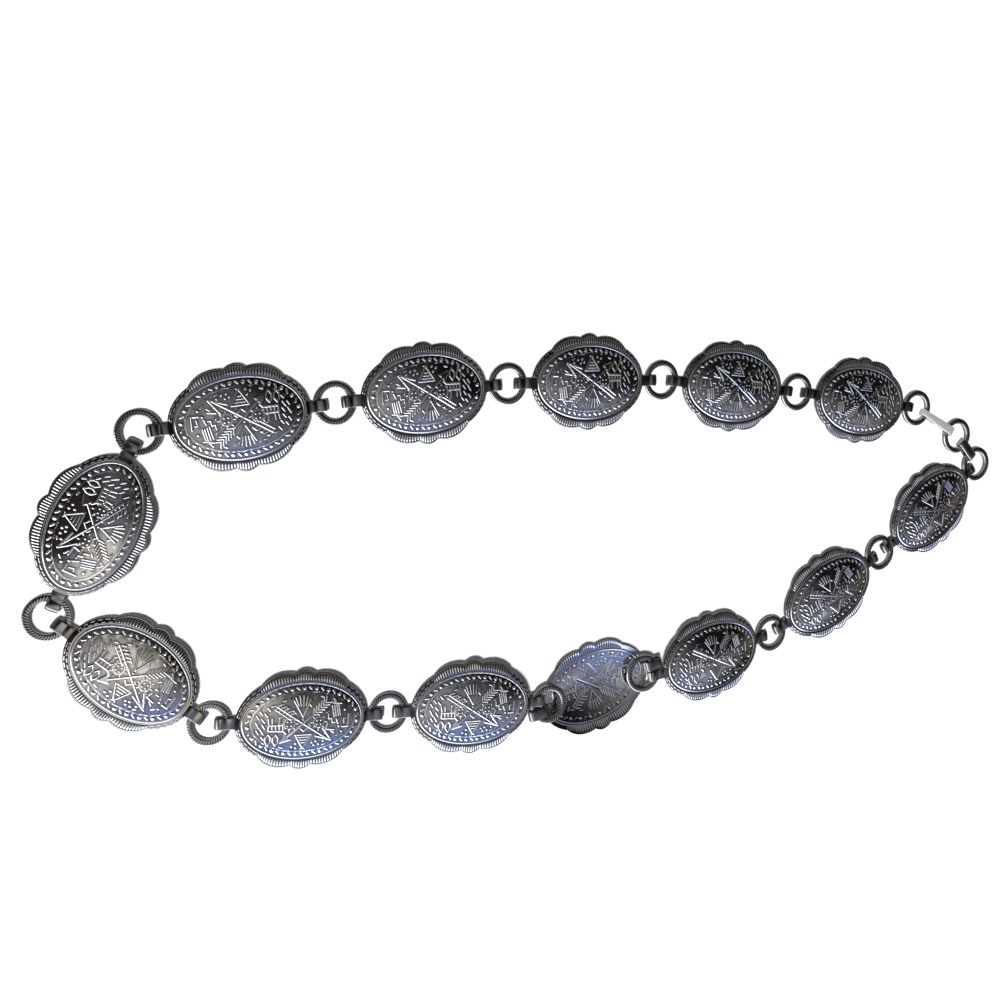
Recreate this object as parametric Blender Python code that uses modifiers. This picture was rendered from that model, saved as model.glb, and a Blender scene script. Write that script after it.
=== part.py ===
"""A metal concho belt, hooked closed and laid flat in one long loop.

Thirteen stamped conchos hang together by rings. Each concho is one sheet: a scalloped skirt, a raised
oval border, a domed panel and a tab at each end, folded round a ring and fastened to the back. At the
clasp a hook on the first concho's ring catches the eye ring, and a short connector joins the eye ring
to the ring on the last concho. One concho lies face down, with its two rings folded over its back.

Local frame of a concho: +X along the belt from its first ring to its second, +Z out of its face, and
the origin at its middle, at half the height of the rings that its tabs hold. The belt stands on Z = 0,
with its box centred on X = Y = 0 and its long way along X.
"""
import math
from collections import namedtuple

import bmesh
import bpy
from mathutils import Matrix, Vector

MM = 0.001
WELD = 0.001 * MM

# Concho plate
CONCHO_LENGTH = 57.0 * MM
CONCHO_WIDTH = 43.4 * MM
SHEET = 0.8 * MM
END_SWELL = 1.1 * MM
SCALLOP_SWELL = 1.6 * MM
END_SKIRT = 2.3 * MM
SIDE_SKIRT = 5.0 * MM
BEAD_BAND = 3.8 * MM
RIDGE_HALF_WIDTH = 0.7 * MM
RIDGE_RISE = 0.5 * MM
SKIRT_RISE = 0.2 * MM
DOME_RISE = 3.2 * MM
SHOULDER_SHARE = 0.5

# Notches of the skirt, as angles of the outline's ellipse from the long axis
END_NOTCH = math.radians(47.0)
MIDDLE_NOTCH = math.radians(81.0)
LOBE_ROUNDNESS = 0.8
END_STEPS = 6
SCALLOP_STEPS = 4

# Rings
RING_DIAMETER = 18.4 * MM
RING_BAND = 2.8 * MM
RING_THICKNESS = 1.8 * MM
RING_CHAMFER = 0.55 * MM
RING_STEPS = 14

# Tabs, folded from the same sheet as the plate
TAB_WIDTH = 4.8 * MM
TAB_NECK = 0.7 * MM
TAB_ROOT = 1.0 * MM
TAB_STEP = 0.1 * MM
FOLD_STEPS = 4

# Clasp
STRIP = 0.8 * MM
HOOK_WIDTH = 4.0 * MM
HOOK_SPAN = 17.8 * MM
HOOK_LIP = 2.4 * MM
HOOK_RETURN = 8.5 * MM
CONNECTOR_WIDTH = 4.9 * MM
CONNECTOR_SPAN = 6.3 * MM
CONNECTOR_SEAM = 0.3 * MM

# Clearances
SLOT_CLEARANCE = 0.35 * MM
SIDE_CLEARANCE = 0.5 * MM

# Headings along the belt, counter-clockwise seen from above, in degrees from +X
HOOK_HEADING = 151.5
CONNECTOR_HEADING = 133.0

Placing = namedtuple("Placing", "name heading play face_down")

# One row for each concho, from the hook round to the tail ring. Heading None: worked out to close
# the loop. Play is where its rings lie in its slots, from 0 at the skirt to 1 at the fold.
LAYOUT = (
    Placing("concho_01", 172.0, 0.4, False),
    Placing("concho_02", 174.0, 0.4, False),
    Placing("concho_03", 179.5, 0.4, False),
    Placing("concho_04", 184.0, 0.4, False),
    Placing("concho_05", 186.0, 0.4, False),
    Placing("concho_06", None, 0.3, False),
    Placing("concho_07", None, 0.3, False),
    Placing("concho_08", 355.0, 0.0, False),
    Placing("concho_09", 357.0, 0.0, False),
    Placing("concho_10", 374.0, 0.0, True),
    Placing("concho_11", 369.0, 0.0, False),
    Placing("concho_12", 387.0, 0.0, False),
    Placing("concho_13", 394.0, 0.0, False),
)

STEEL = (0.62, 0.62, 0.64, 1.0)
STEEL_ROUGHNESS = 0.22
SHARP_EDGE = math.radians(35.0)

# Sizes that follow from those above
BORDER_LENGTH = CONCHO_LENGTH - 2 * END_SKIRT
BORDER_WIDTH = CONCHO_WIDTH - 2 * SIDE_SKIRT
PANEL_LENGTH = BORDER_LENGTH - 2 * BEAD_BAND
PANEL_WIDTH = BORDER_WIDTH - 2 * BEAD_BAND
RING_RADIUS = (RING_DIAMETER - RING_BAND) / 2
RING_OUTER = RING_DIAMETER / 2
RING_INNER = (RING_DIAMETER / 2 - RING_BAND) * math.cos(math.pi / RING_STEPS)
SLOT_HEIGHT = RING_THICKNESS + 2 * SLOT_CLEARANCE
TAB_HALF = SLOT_HEIGHT / 2 + SHEET
RIM_BACK = SLOT_HEIGHT / 2 + TAB_STEP
RIM_FACE = RIM_BACK + SHEET
CROWN = RIM_FACE + SKIRT_RISE + DOME_RISE
SLOT_START = CONCHO_LENGTH / 2 + TAB_NECK
HOOK_LINK = HOOK_SPAN + 2 * RING_RADIUS
CONNECTOR_LINK = CONNECTOR_SPAN + 2 * RING_RADIUS


def unit(angle):
    """Flat unit vector at an angle in radians."""
    return Vector((math.cos(angle), math.sin(angle)))


def turn(vector, angle):
    """A flat vector turned by an angle in radians."""
    return Matrix.Rotation(angle, 2) @ vector


# Outlines of bent strip

def arc(centre, radius, start, sweep, steps):
    """Points of an arc, both ends included."""
    return [centre + radius * unit(start + sweep * i / steps) for i in range(steps + 1)]


def offset_points(path, distance, closed):
    """A path moved to its left by a distance, with mitred corners."""
    count = len(path)
    moved = []
    for i, point in enumerate(path):
        before = path[i - 1] if closed or i else None
        after = path[(i + 1) % count] if closed or i < count - 1 else None
        sides = []
        if before is not None:
            sides.append((point - before).normalized())
        if after is not None:
            sides.append((after - point).normalized())
        normals = [Vector((-side.y, side.x)) for side in sides]
        mean = sum(normals, Vector((0.0, 0.0))).normalized()
        moved.append(point + mean * (distance / mean.dot(normals[0])))
    return moved


def open_strip(path, thickness):
    """The one outline of a strip of even thickness along an open path."""
    left = offset_points(path, thickness / 2, False)
    right = offset_points(path, -thickness / 2, False)
    return [left + right[::-1]]


def closed_strip(path, thickness):
    """Outer and inner outline of a strip of even thickness along a closed path."""
    return [offset_points(path, thickness / 2, True), offset_points(path, -thickness / 2, True)]


def standing_plate(name, outlines, width):
    """Mesh of flat outlines drawn in X and Z, extruded to both sides along Y."""
    curve = bpy.data.curves.new(name, "CURVE")
    curve.dimensions = "2D"
    curve.fill_mode = "BOTH"
    curve.extrude = width / 2
    for outline in outlines:
        spline = curve.splines.new("POLY")
        spline.points.add(len(outline) - 1)
        for point, place in zip(spline.points, outline):
            point.co = (place.x, place.y, 0.0, 1.0)
        spline.use_cyclic_u = True
    holder = bpy.data.objects.new(name, curve)
    bpy.context.scene.collection.objects.link(holder)
    bpy.context.view_layer.update()
    depsgraph = bpy.context.evaluated_depsgraph_get()
    mesh = bpy.data.meshes.new_from_object(holder.evaluated_get(depsgraph))
    bpy.data.objects.remove(holder)
    edit = bmesh.new()
    edit.from_mesh(mesh)
    bmesh.ops.remove_doubles(edit, verts=edit.verts, dist=WELD)
    bmesh.ops.transform(edit, matrix=Matrix.Rotation(math.pi / 2, 4, "X"), verts=edit.verts)
    bmesh.ops.recalc_face_normals(edit, faces=edit.faces)
    edit.to_mesh(mesh)
    edit.free()
    mesh.name = name
    return mesh


# Where a ring lies in a tab

def outer_reach(swing):
    """How far the ring's band stands past its middle line, away from the ring's centre."""
    aside = max(0.0, RING_RADIUS * abs(math.sin(swing)) - TAB_WIDTH / 2)
    return math.sqrt(RING_OUTER ** 2 - aside ** 2) - RING_RADIUS * math.cos(swing)


def inner_reach(swing):
    """How far the ring's band stands past its middle line, towards the ring's centre."""
    aside = TAB_WIDTH / 2 + RING_RADIUS * abs(math.sin(swing))
    return RING_RADIUS * math.cos(swing) - math.sqrt(RING_INNER ** 2 - aside ** 2)


def half_spread(first, second):
    """Half the angle on a ring between two tabs side by side, for the headings of their plates."""
    skew = abs(first - second) / 2
    beside = RING_BAND + 2 * SHEET
    apart = TAB_WIDTH / math.cos(skew) + 2 * beside * math.tan(skew) + SIDE_CLEARANCE
    return math.asin(apart / (2 * RING_RADIUS))


def shared_swing(first, second):
    """How far each of two side-by-side tabs turns from its plate's axis."""
    return half_spread(first, second) - abs(first - second) / 2


def widest_swing():
    """The largest swing of any tab of the belt."""
    swings = [0.0]
    for before, after in zip(LAYOUT, LAYOUT[1:]):
        if before.face_down or after.face_down:
            swings.append(shared_swing(math.radians(before.heading), math.radians(after.heading)))
    return max(swings)


WIDEST_SWING = widest_swing()
SLOT_LENGTH = outer_reach(WIDEST_SWING) + inner_reach(WIDEST_SWING) + 2 * SLOT_CLEARANCE
FOLD_INSET = math.sqrt((SLOT_HEIGHT / 2) ** 2 - (RING_THICKNESS / 2) ** 2)
FOLD_CENTRE = SLOT_START + SLOT_LENGTH - FOLD_INSET


def seat(play):
    """Distance from a concho's middle to the band of a ring that pulls straight."""
    near = SLOT_START + SLOT_CLEARANCE + outer_reach(0.0)
    far = SLOT_START + SLOT_LENGTH - SLOT_CLEARANCE - inner_reach(0.0)
    return near + play * (far - near)


def swung_seat(swing, folded_back):
    """Distance from a concho's middle to the band of a ring that lies askew in its slot."""
    spare = SLOT_LENGTH - outer_reach(swing) - inner_reach(swing)
    near_side = inner_reach(swing) if folded_back else outer_reach(swing)
    return SLOT_START + spare / 2 + near_side


# The concho

def outline_angles():
    """Ellipse angle, lobe share and lobe swell of each point of the scalloped outline."""
    notches = [-END_NOTCH, END_NOTCH, MIDDLE_NOTCH, math.pi - MIDDLE_NOTCH, math.pi - END_NOTCH]
    notches += [math.pi + notch for notch in notches[1:]]
    points = []
    for lobe, (start, end) in enumerate(zip(notches, notches[1:])):
        is_end = lobe % 4 == 0
        steps = END_STEPS if is_end else SCALLOP_STEPS
        swell = END_SWELL if is_end else SCALLOP_SWELL
        for step in range(steps):
            share = step / steps
            points.append((start + share * (end - start), share, swell))
    return points


def outline_loop():
    """The scalloped outline: an ellipse through the notches with a lobe swelling over each gap."""
    long_half = CONCHO_LENGTH / 2 - END_SWELL
    short_half = CONCHO_WIDTH / 2 - SCALLOP_SWELL
    loop = []
    for angle, share, swell in outline_angles():
        point = Vector((long_half * math.cos(angle), short_half * math.sin(angle)))
        outward = Vector((math.cos(angle) / long_half, math.sin(angle) / short_half)).normalized()
        point += outward * (swell * math.sin(math.pi * share) ** LOBE_ROUNDNESS)
        loop.append(point.to_3d() + Vector((0.0, 0.0, RIM_FACE)))
    return loop


def oval_loop(length, width, height, angles):
    """An oval at one height, with a point at each angle."""
    return [
        Vector((length / 2 * math.cos(angle), width / 2 * math.sin(angle), height)) for angle in angles
    ]


def dome_height(share):
    """Height of the dome at a share of the border's size."""
    return RIM_FACE + SKIRT_RISE + DOME_RISE * (1.0 - share ** 2)


def bridge(edit, outer, inner):
    """Faces between two loops, the inner one with as many points or with half as many."""
    ratio = len(outer) // len(inner)
    for i, here in enumerate(inner):
        ahead = inner[(i + 1) % len(inner)]
        rim = [outer[(i * ratio + step) % len(outer)] for step in range(ratio + 1)]
        if ratio == 1:
            edit.faces.new((rim[0], rim[1], ahead, here))
        else:
            edit.faces.new((rim[0], rim[1], here))
            edit.faces.new((rim[1], ahead, here))
            edit.faces.new((rim[1], rim[2], ahead))


def face_mesh():
    """The concho's outer face as one open sheet, lofted from the scallops over the border to the crown."""
    angles = [angle for angle, _share, _swell in outline_angles()]
    ridge = 2 * RIDGE_HALF_WIDTH
    foot_height = RIM_FACE + SKIRT_RISE
    panel_share = PANEL_LENGTH / BORDER_LENGTH
    loops = [
        outline_loop(),
        oval_loop(BORDER_LENGTH + ridge, BORDER_WIDTH + ridge, foot_height, angles),
        oval_loop(BORDER_LENGTH, BORDER_WIDTH, foot_height + RIDGE_RISE, angles[::2]),
        oval_loop(PANEL_LENGTH, PANEL_WIDTH, dome_height(panel_share), angles[::2]),
        oval_loop(
            PANEL_LENGTH * SHOULDER_SHARE,
            PANEL_WIDTH * SHOULDER_SHARE,
            dome_height(panel_share * SHOULDER_SHARE),
            angles[::2],
        ),
    ]
    edit = bmesh.new()
    rows = [[edit.verts.new(point) for point in loop] for loop in loops]
    for outer, inner in zip(rows, rows[1:]):
        bridge(edit, outer, inner)
    crown = edit.verts.new((0.0, 0.0, CROWN))
    last = rows[-1]
    for i, corner in enumerate(last):
        edit.faces.new((corner, last[(i + 1) % len(last)], crown))
    mesh = bpy.data.meshes.new("concho_face")
    edit.to_mesh(mesh)
    edit.free()
    return mesh


def tab_mesh():
    """The tab at the +X end: out over the ring, round it, and back under it to the plate's back."""
    level = (SLOT_HEIGHT + SHEET) / 2
    fold = arc(Vector((FOLD_CENTRE, 0.0)), level, math.pi / 2, -math.pi, FOLD_STEPS)
    low_corner = Vector((SLOT_START - SHEET / 2, -level))
    top_corner = Vector((CONCHO_LENGTH / 2 - TAB_ROOT, level))
    return standing_plate("tab", closed_strip([top_corner] + fold + [low_corner], SHEET), TAB_WIDTH)


def concho_mesh():
    """The whole plate: the solidified face united with a tab at each end."""
    plate = bpy.data.objects.new("concho_pattern", face_mesh())
    tab = tab_mesh()
    tabs = [bpy.data.objects.new("tab_pattern", tab) for _end in range(2)]
    tabs[1].rotation_euler.z = math.pi
    for item in [plate] + tabs:
        bpy.context.scene.collection.objects.link(item)
    thicken = plate.modifiers.new("sheet", "SOLIDIFY")
    thicken.thickness = SHEET
    thicken.offset = -1.0
    thicken.use_even_offset = True
    for item in tabs:
        join = plate.modifiers.new("tab", "BOOLEAN")
        join.operation = "UNION"
        join.solver = "EXACT"
        join.object = item
    bpy.context.view_layer.update()
    depsgraph = bpy.context.evaluated_depsgraph_get()
    mesh = bpy.data.meshes.new_from_object(plate.evaluated_get(depsgraph))
    for item in [plate] + tabs:
        bpy.data.objects.remove(item)
    mesh.name = "concho"
    return mesh


# Rings and clasp

def ring_profile():
    """Section of a ring's band at +X, from the top of its outer side down and round."""
    high = RING_THICKNESS / 2
    outer = RING_OUTER
    inner = RING_OUTER - RING_BAND
    return [
        (outer - RING_CHAMFER, high),
        (outer, 0.0),
        (outer - RING_CHAMFER, -high),
        (inner + RING_CHAMFER, -high),
        (inner, 0.0),
        (inner + RING_CHAMFER, high),
    ]


def ring_section_mesh():
    """The band's section as a closed loop of edges."""
    edit = bmesh.new()
    corners = [edit.verts.new((radius, 0.0, height)) for radius, height in ring_profile()]
    for i, corner in enumerate(corners):
        edit.edges.new((corner, corners[(i + 1) % len(corners)]))
    mesh = bpy.data.meshes.new("ring")
    edit.to_mesh(mesh)
    edit.free()
    return mesh


def clasp_fold():
    """How far a clasp strip's fold centre lies past the band that it holds."""
    aside = max(HOOK_WIDTH, CONNECTOR_WIDTH) / 2
    band_edge = RING_RADIUS - math.sqrt(RING_INNER ** 2 - aside ** 2)
    return band_edge + SLOT_CLEARANCE - FOLD_INSET


def hook_mesh():
    """The hook: a strip folded round its own ring at X = 0, with its open hook round the eye ring."""
    level = (SLOT_HEIGHT + STRIP) / 2
    reach = clasp_fold()
    eye = arc(Vector((HOOK_SPAN + reach, 0.0)), level, -math.pi / 2, math.pi, FOLD_STEPS)
    fold = arc(Vector((-reach, 0.0)), level, math.pi / 2, math.pi, FOLD_STEPS)
    lip = Vector((HOOK_SPAN + reach - HOOK_LIP, -level))
    tail = Vector((HOOK_RETURN, -level))
    return standing_plate("hook", open_strip([lip] + eye + fold + [tail], STRIP), HOOK_WIDTH)


def connector_mesh():
    """The connector: a strip bent round both its rings, with its ends meeting underneath."""
    level = (SLOT_HEIGHT + STRIP) / 2
    reach = clasp_fold()
    near = arc(Vector((-reach, 0.0)), level, math.pi / 2, math.pi, FOLD_STEPS)
    far = arc(Vector((CONNECTOR_SPAN + reach, 0.0)), level, -math.pi / 2, math.pi, FOLD_STEPS)
    seam = CONNECTOR_SPAN / 2
    first = Vector((seam + CONNECTOR_SEAM / 2, -level))
    last = Vector((seam - CONNECTOR_SEAM / 2, -level))
    return standing_plate("connector", open_strip([first] + far + near + [last], STRIP), CONNECTOR_WIDTH)


# The chain

class Link:
    """One concho in the chain: its headings, the angles of its tabs on their rings, and its seats."""

    def __init__(self, row):
        self.row = row
        self.heading = None if row.heading is None else math.radians(row.heading)
        self.swings = [0.0, 0.0]
        self.folded = [False, False]
        self.levels = [TAB_HALF, TAB_HALF]

    def seat_of(self, end):
        """Distance from the middle to the ring's band at the first or the second end."""
        if self.swings[end] or self.folded[end]:
            return swung_seat(self.swings[end], self.folded[end])
        return seat(self.row.play)

    def slope(self):
        """Sine of the plate's tilt along the belt."""
        return (self.levels[1] - self.levels[0]) / (self.seat_of(0) + self.seat_of(1))

    def ring_centre(self, end):
        """A ring's centre in the concho's own flat frame."""
        way = 1.0 if end else -1.0
        level_share = math.sqrt(1.0 - self.slope() ** 2)
        band = Vector((way * self.seat_of(end) * level_share, 0.0))
        facing = -way if self.folded[end] else way
        return band + turn(Vector((facing * RING_RADIUS, 0.0)), self.swings[end])

    def span(self):
        """From the first ring's centre to the second's, in the concho's own flat frame."""
        return self.ring_centre(1) - self.ring_centre(0)


def share_ring(before, after):
    """Set two tabs side by side on a ring that is folded over a concho's back."""
    half = half_spread(before.heading, after.heading)
    middle = (before.heading + after.heading) / 2
    side = 1.0 if after.heading > before.heading else -1.0
    before.swings[1] = middle - side * half - before.heading
    after.swings[0] = middle + side * half - after.heading
    before.folded[1] = before.row.face_down
    after.folded[0] = after.row.face_down
    before.levels[1] = CROWN
    after.levels[0] = CROWN


def make_links():
    """The chain's conchos with their swings and the heights of their rings."""
    links = [Link(row) for row in LAYOUT]
    for before, after in zip(links, links[1:]):
        if before.row.face_down or after.row.face_down:
            share_ring(before, after)
    for i, link in enumerate(links):
        for end, beside in ((0, i - 1), (1, i + 1)):
            if link.levels[end] < link.levels[1 - end] == CROWN:
                lift = abs(link.slope()) * (FOLD_CENTRE - link.seat_of(end))
                link.levels[end] += lift
                links[beside].levels[1 - end] += lift
    return links


def close_loop(links):
    """Headings of the two unset conchos, from the triangle of their spans and the gap that they close."""
    gap = -HOOK_LINK * unit(math.radians(HOOK_HEADING))
    gap -= CONNECTOR_LINK * unit(math.radians(CONNECTOR_HEADING))
    for link in links:
        if link.heading is not None:
            gap -= turn(link.span(), link.heading)
    first, second = [link for link in links if link.heading is None]
    one = first.span().length
    two = second.span().length
    corner = math.acos((one ** 2 + gap.length_squared - two ** 2) / (2 * one * gap.length))
    first.heading = math.atan2(gap.y, gap.x) - corner
    rest = gap - turn(first.span(), first.heading)
    second.heading = math.atan2(rest.y, rest.x)


# Making the nodes

def steel(name):
    """A node's own steel."""
    material = bpy.data.materials.new(name)
    material.use_nodes = True
    shader = material.node_tree.nodes["Principled BSDF"]
    shader.inputs["Base Color"].default_value = STEEL
    shader.inputs["Metallic"].default_value = 1.0
    shader.inputs["Roughness"].default_value = STEEL_ROUGHNESS
    return material


def place(name, mesh, location, rotation, holder, collection):
    """A named object of a mesh, with its own steel, held by the belt's empty."""
    item = bpy.data.objects.new(name, mesh)
    collection.objects.link(item)
    item.parent = holder
    item.matrix_basis = Matrix.Translation(location) @ rotation
    if not mesh.materials:
        mesh.materials.append(None)
    item.material_slots[0].link = "OBJECT"
    item.material_slots[0].material = steel(name)
    return item


def place_ring(name, mesh, centre, level, holder, collection):
    """A ring lying level with its centre at a point."""
    ring = place(name, mesh, centre.to_3d() + Vector((0.0, 0.0, level)), Matrix(), holder, collection)
    turned = ring.modifiers.new("turn", "SCREW")
    turned.steps = RING_STEPS
    turned.render_steps = RING_STEPS
    turned.use_merge_vertices = True
    turned.merge_threshold = WELD
    turned.use_smooth_shade = True
    return ring


def heading_rotation(angle):
    """Rotation about Z to a heading."""
    return Matrix.Rotation(angle, 4, "Z")


def place_conchos(links, start, holder, collection):
    """The conchos and the rings between them. Returns the tail ring's centre."""
    plate = concho_mesh()
    plate.shade_smooth()
    plate.set_sharp_from_angle(angle=SHARP_EDGE)
    ring = ring_section_mesh()
    point = start
    for number, link in enumerate(links, 1):
        middle = point - turn(link.ring_centre(0), link.heading)
        height = link.levels[0] + link.seat_of(0) * link.slope()
        rotation = heading_rotation(link.heading)
        rotation = rotation @ Matrix.Rotation(-math.asin(link.slope()), 4, "Y")
        if link.row.face_down:
            rotation = rotation @ Matrix.Rotation(math.pi, 4, "X")
        location = middle.to_3d() + Vector((0.0, 0.0, height))
        place(link.row.name, plate, location, rotation, holder, collection)
        point = middle + turn(link.ring_centre(1), link.heading)
        name = "ring_tail" if number == len(links) else f"ring_{number:02d}"
        place_ring(name, ring, point, link.levels[1], holder, collection)
    place_ring("ring_hook_end", ring, start, TAB_HALF, holder, collection)
    return point


def place_clasp(tail, holder, collection):
    """The connector from the tail ring to the eye ring, and the hook from its ring to the eye ring."""
    up = Vector((0.0, 0.0, TAB_HALF))
    connector_way = math.radians(CONNECTOR_HEADING)
    eye = tail + CONNECTOR_LINK * unit(connector_way)
    band = tail + RING_RADIUS * unit(connector_way)
    rotation = heading_rotation(connector_way)
    place("connector", connector_mesh(), band.to_3d() + up, rotation, holder, collection)
    place_ring("ring_eye", ring_section_mesh(), eye, TAB_HALF, holder, collection)
    hook_way = math.radians(HOOK_HEADING)
    band = eye + (RING_RADIUS + HOOK_SPAN) * unit(hook_way)
    rotation = heading_rotation(hook_way + math.pi)
    place("hook", hook_mesh(), band.to_3d() + up, rotation, holder, collection)


def centre_on_floor(holder, collection):
    """Move the empty so that the belt's box stands on Z = 0, centred on X = Y = 0."""
    bpy.context.view_layer.update()
    depsgraph = bpy.context.evaluated_depsgraph_get()
    points = []
    for item in collection.objects:
        if item.type == "MESH":
            solid = item.evaluated_get(depsgraph)
            points += [solid.matrix_world @ corner.co for corner in solid.data.vertices]
    low = Vector([min(point[axis] for point in points) for axis in range(3)])
    high = Vector([max(point[axis] for point in points) for axis in range(3)])
    holder.location = Vector((-(low.x + high.x) / 2, -(low.y + high.y) / 2, -low.z))
    bpy.context.view_layer.update()


def clear_scene():
    """Remove whatever the scene holds."""
    for item in list(bpy.data.objects):
        bpy.data.objects.remove(item)


def main():
    """Build the belt."""
    clear_scene()
    collection = bpy.data.collections.new("concho_belt")
    bpy.context.scene.collection.children.link(collection)
    holder = bpy.data.objects.new("belt", None)
    collection.objects.link(holder)
    links = make_links()
    close_loop(links)
    tail = place_conchos(links, Vector((0.0, 0.0)), holder, collection)
    place_clasp(tail, holder, collection)
    centre_on_floor(holder, collection)


main()
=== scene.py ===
"""Looks of the concho belt: stamped shells, rope-cut rings, clasp strips, finishes, light, camera.

Lengths are in millimetres until a mesh is made. A shell's own frame has +X towards the next
ring and +Z on its domed side, with 0 at the level of the ring's middle.
"""

import logging
import math
from dataclasses import dataclass, field
from enum import Enum

import bpy
import numpy as np
from mathutils import Euler, Matrix, Vector
from mathutils.geometry import delaunay_2d_cdt


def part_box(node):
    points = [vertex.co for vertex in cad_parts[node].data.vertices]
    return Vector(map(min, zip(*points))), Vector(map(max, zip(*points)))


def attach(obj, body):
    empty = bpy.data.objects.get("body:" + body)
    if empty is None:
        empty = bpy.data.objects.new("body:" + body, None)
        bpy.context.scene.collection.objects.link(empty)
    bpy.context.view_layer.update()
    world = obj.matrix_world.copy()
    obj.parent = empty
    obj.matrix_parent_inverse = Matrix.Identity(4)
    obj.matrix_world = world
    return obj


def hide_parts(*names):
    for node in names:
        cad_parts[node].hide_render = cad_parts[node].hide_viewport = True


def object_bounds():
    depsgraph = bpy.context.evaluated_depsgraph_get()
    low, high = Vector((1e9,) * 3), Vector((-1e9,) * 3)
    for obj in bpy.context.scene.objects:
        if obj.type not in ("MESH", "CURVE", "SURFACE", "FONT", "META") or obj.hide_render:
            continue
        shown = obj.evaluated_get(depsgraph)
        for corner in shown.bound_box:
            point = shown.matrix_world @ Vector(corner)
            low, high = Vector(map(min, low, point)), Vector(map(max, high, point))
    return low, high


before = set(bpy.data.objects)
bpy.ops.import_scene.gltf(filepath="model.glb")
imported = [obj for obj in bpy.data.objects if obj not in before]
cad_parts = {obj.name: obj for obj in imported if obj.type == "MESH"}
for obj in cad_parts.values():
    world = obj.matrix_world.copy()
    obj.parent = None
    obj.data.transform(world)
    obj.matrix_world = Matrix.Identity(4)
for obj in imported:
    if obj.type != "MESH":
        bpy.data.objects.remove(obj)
CAD_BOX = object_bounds()

LOG = logging.getLogger("belt")
MM = 0.001
CONCHOS = 13

# Small steps for slopes by differences: over the panel in millimetres, and along the skirt in
# radians and in shares of its width
PANEL_STEP = 0.01
SKIRT_STEP = 0.0015

# Decimals of a millimetre to which the shared points of two patches agree
WELD_DIGITS = 4

# Longest step of the net along a stroke
STROKE_PITCH = 1.2


class Face(Enum):
    """The two faces of the sheet."""

    FRONT = 1.0
    BACK = -1.0


class Slot(Enum):
    """Material slots of the record."""

    CONCHO = "concho_steel"
    RING = "ring_steel"
    CLASP = "clasp_steel"


# Small curves that the relief is made of

def hump(distance: np.ndarray) -> np.ndarray:
    """Round hump: 1 where the distance is 0, and 0 from 1 outwards."""
    return 0.5 + 0.5 * np.cos(np.pi * np.clip(np.abs(distance), 0.0, 1.0))


def ramp(value: np.ndarray) -> np.ndarray:
    """Smooth step from 0 at 0 to 1 at 1."""
    share = np.clip(value, 0.0, 1.0)
    return share * share * (3.0 - 2.0 * share)


def unit_rows(rows: np.ndarray) -> np.ndarray:
    """Rows scaled to length 1."""
    return rows / np.maximum(np.linalg.norm(rows, axis=1, keepdims=True), 1e-12)


@dataclass
class Contour:
    """A run of points in the plane that the sheet's net has to follow.

    Attributes:
        points: Rows of x and y.
        closed: Whether the last point joins the first.
    """

    points: np.ndarray
    closed: bool = True


def capsule(start: np.ndarray, end: np.ndarray, radius: float, turns: int) -> Contour:
    """Outline at one distance round a straight line.

    Args:
        start: One end of the line.
        end: The other end.
        radius: Distance from the line.
        turns: Steps round each end.

    Returns:
        The closed outline.
    """
    run = end - start
    heading = math.atan2(run[1], run[0])
    steps = max(1, math.ceil(float(np.linalg.norm(run)) / STROKE_PITCH))
    points = []
    ways = ((start, end, heading - math.pi / 2), (end, start, heading + math.pi / 2))
    for corner, other, first in ways:
        aside = radius * np.array([math.cos(first), math.sin(first)])
        points += [corner + (other - corner) * k / steps + aside for k in range(steps + 1)]
        for k in range(1, turns):
            angle = first + math.pi * k / turns
            points.append(other + radius * np.array([math.cos(angle), math.sin(angle)]))
    return Contour(np.array(points))


def round_contour(centre: tuple[float, float], across: tuple[float, float], steps: int) -> Contour:
    """Ellipse with the given centre and semi-axes, in even steps of its angle.

    Args:
        centre: Its centre.
        across: Its two semi-axes.
        steps: Steps round it.

    Returns:
        The closed contour.
    """
    angles = np.linspace(0.0, 2 * np.pi, steps, endpoint=False)
    ring = np.stack([across[0] * np.cos(angles), across[1] * np.sin(angles)], axis=1)
    return Contour(ring + np.array(centre))


def oval_shares(across: tuple[float, float]) -> tuple[np.ndarray, np.ndarray]:
    """Shares of the way round an ellipse.

    Args:
        across: Its semi-axes.

    Returns:
        Ellipse angles from 0 to a full turn, and the share of the way up to each.
    """
    angles = np.linspace(0.0, 2 * np.pi, 721)
    track = np.stack([across[0] * np.cos(angles), across[1] * np.sin(angles)], axis=1)
    lengths = np.concatenate([[0.0], np.cumsum(np.linalg.norm(np.diff(track, axis=0), axis=1))])
    return angles, lengths / lengths[-1]


# Stamps: what the die raises on the panel

class Cut(Enum):
    """How far a line of the die spreads to each side of its crest, and how high it stands."""

    BOLD = (0.56, 0.34)
    PLAIN = (0.48, 0.29)
    FINE = (0.41, 0.245)

    @property
    def half_width(self) -> float:
        """Distance from the crest to the field."""
        return self.value[0]

    @property
    def rise(self) -> float:
        """Height of the crest over the field."""
        return self.value[1]


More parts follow.
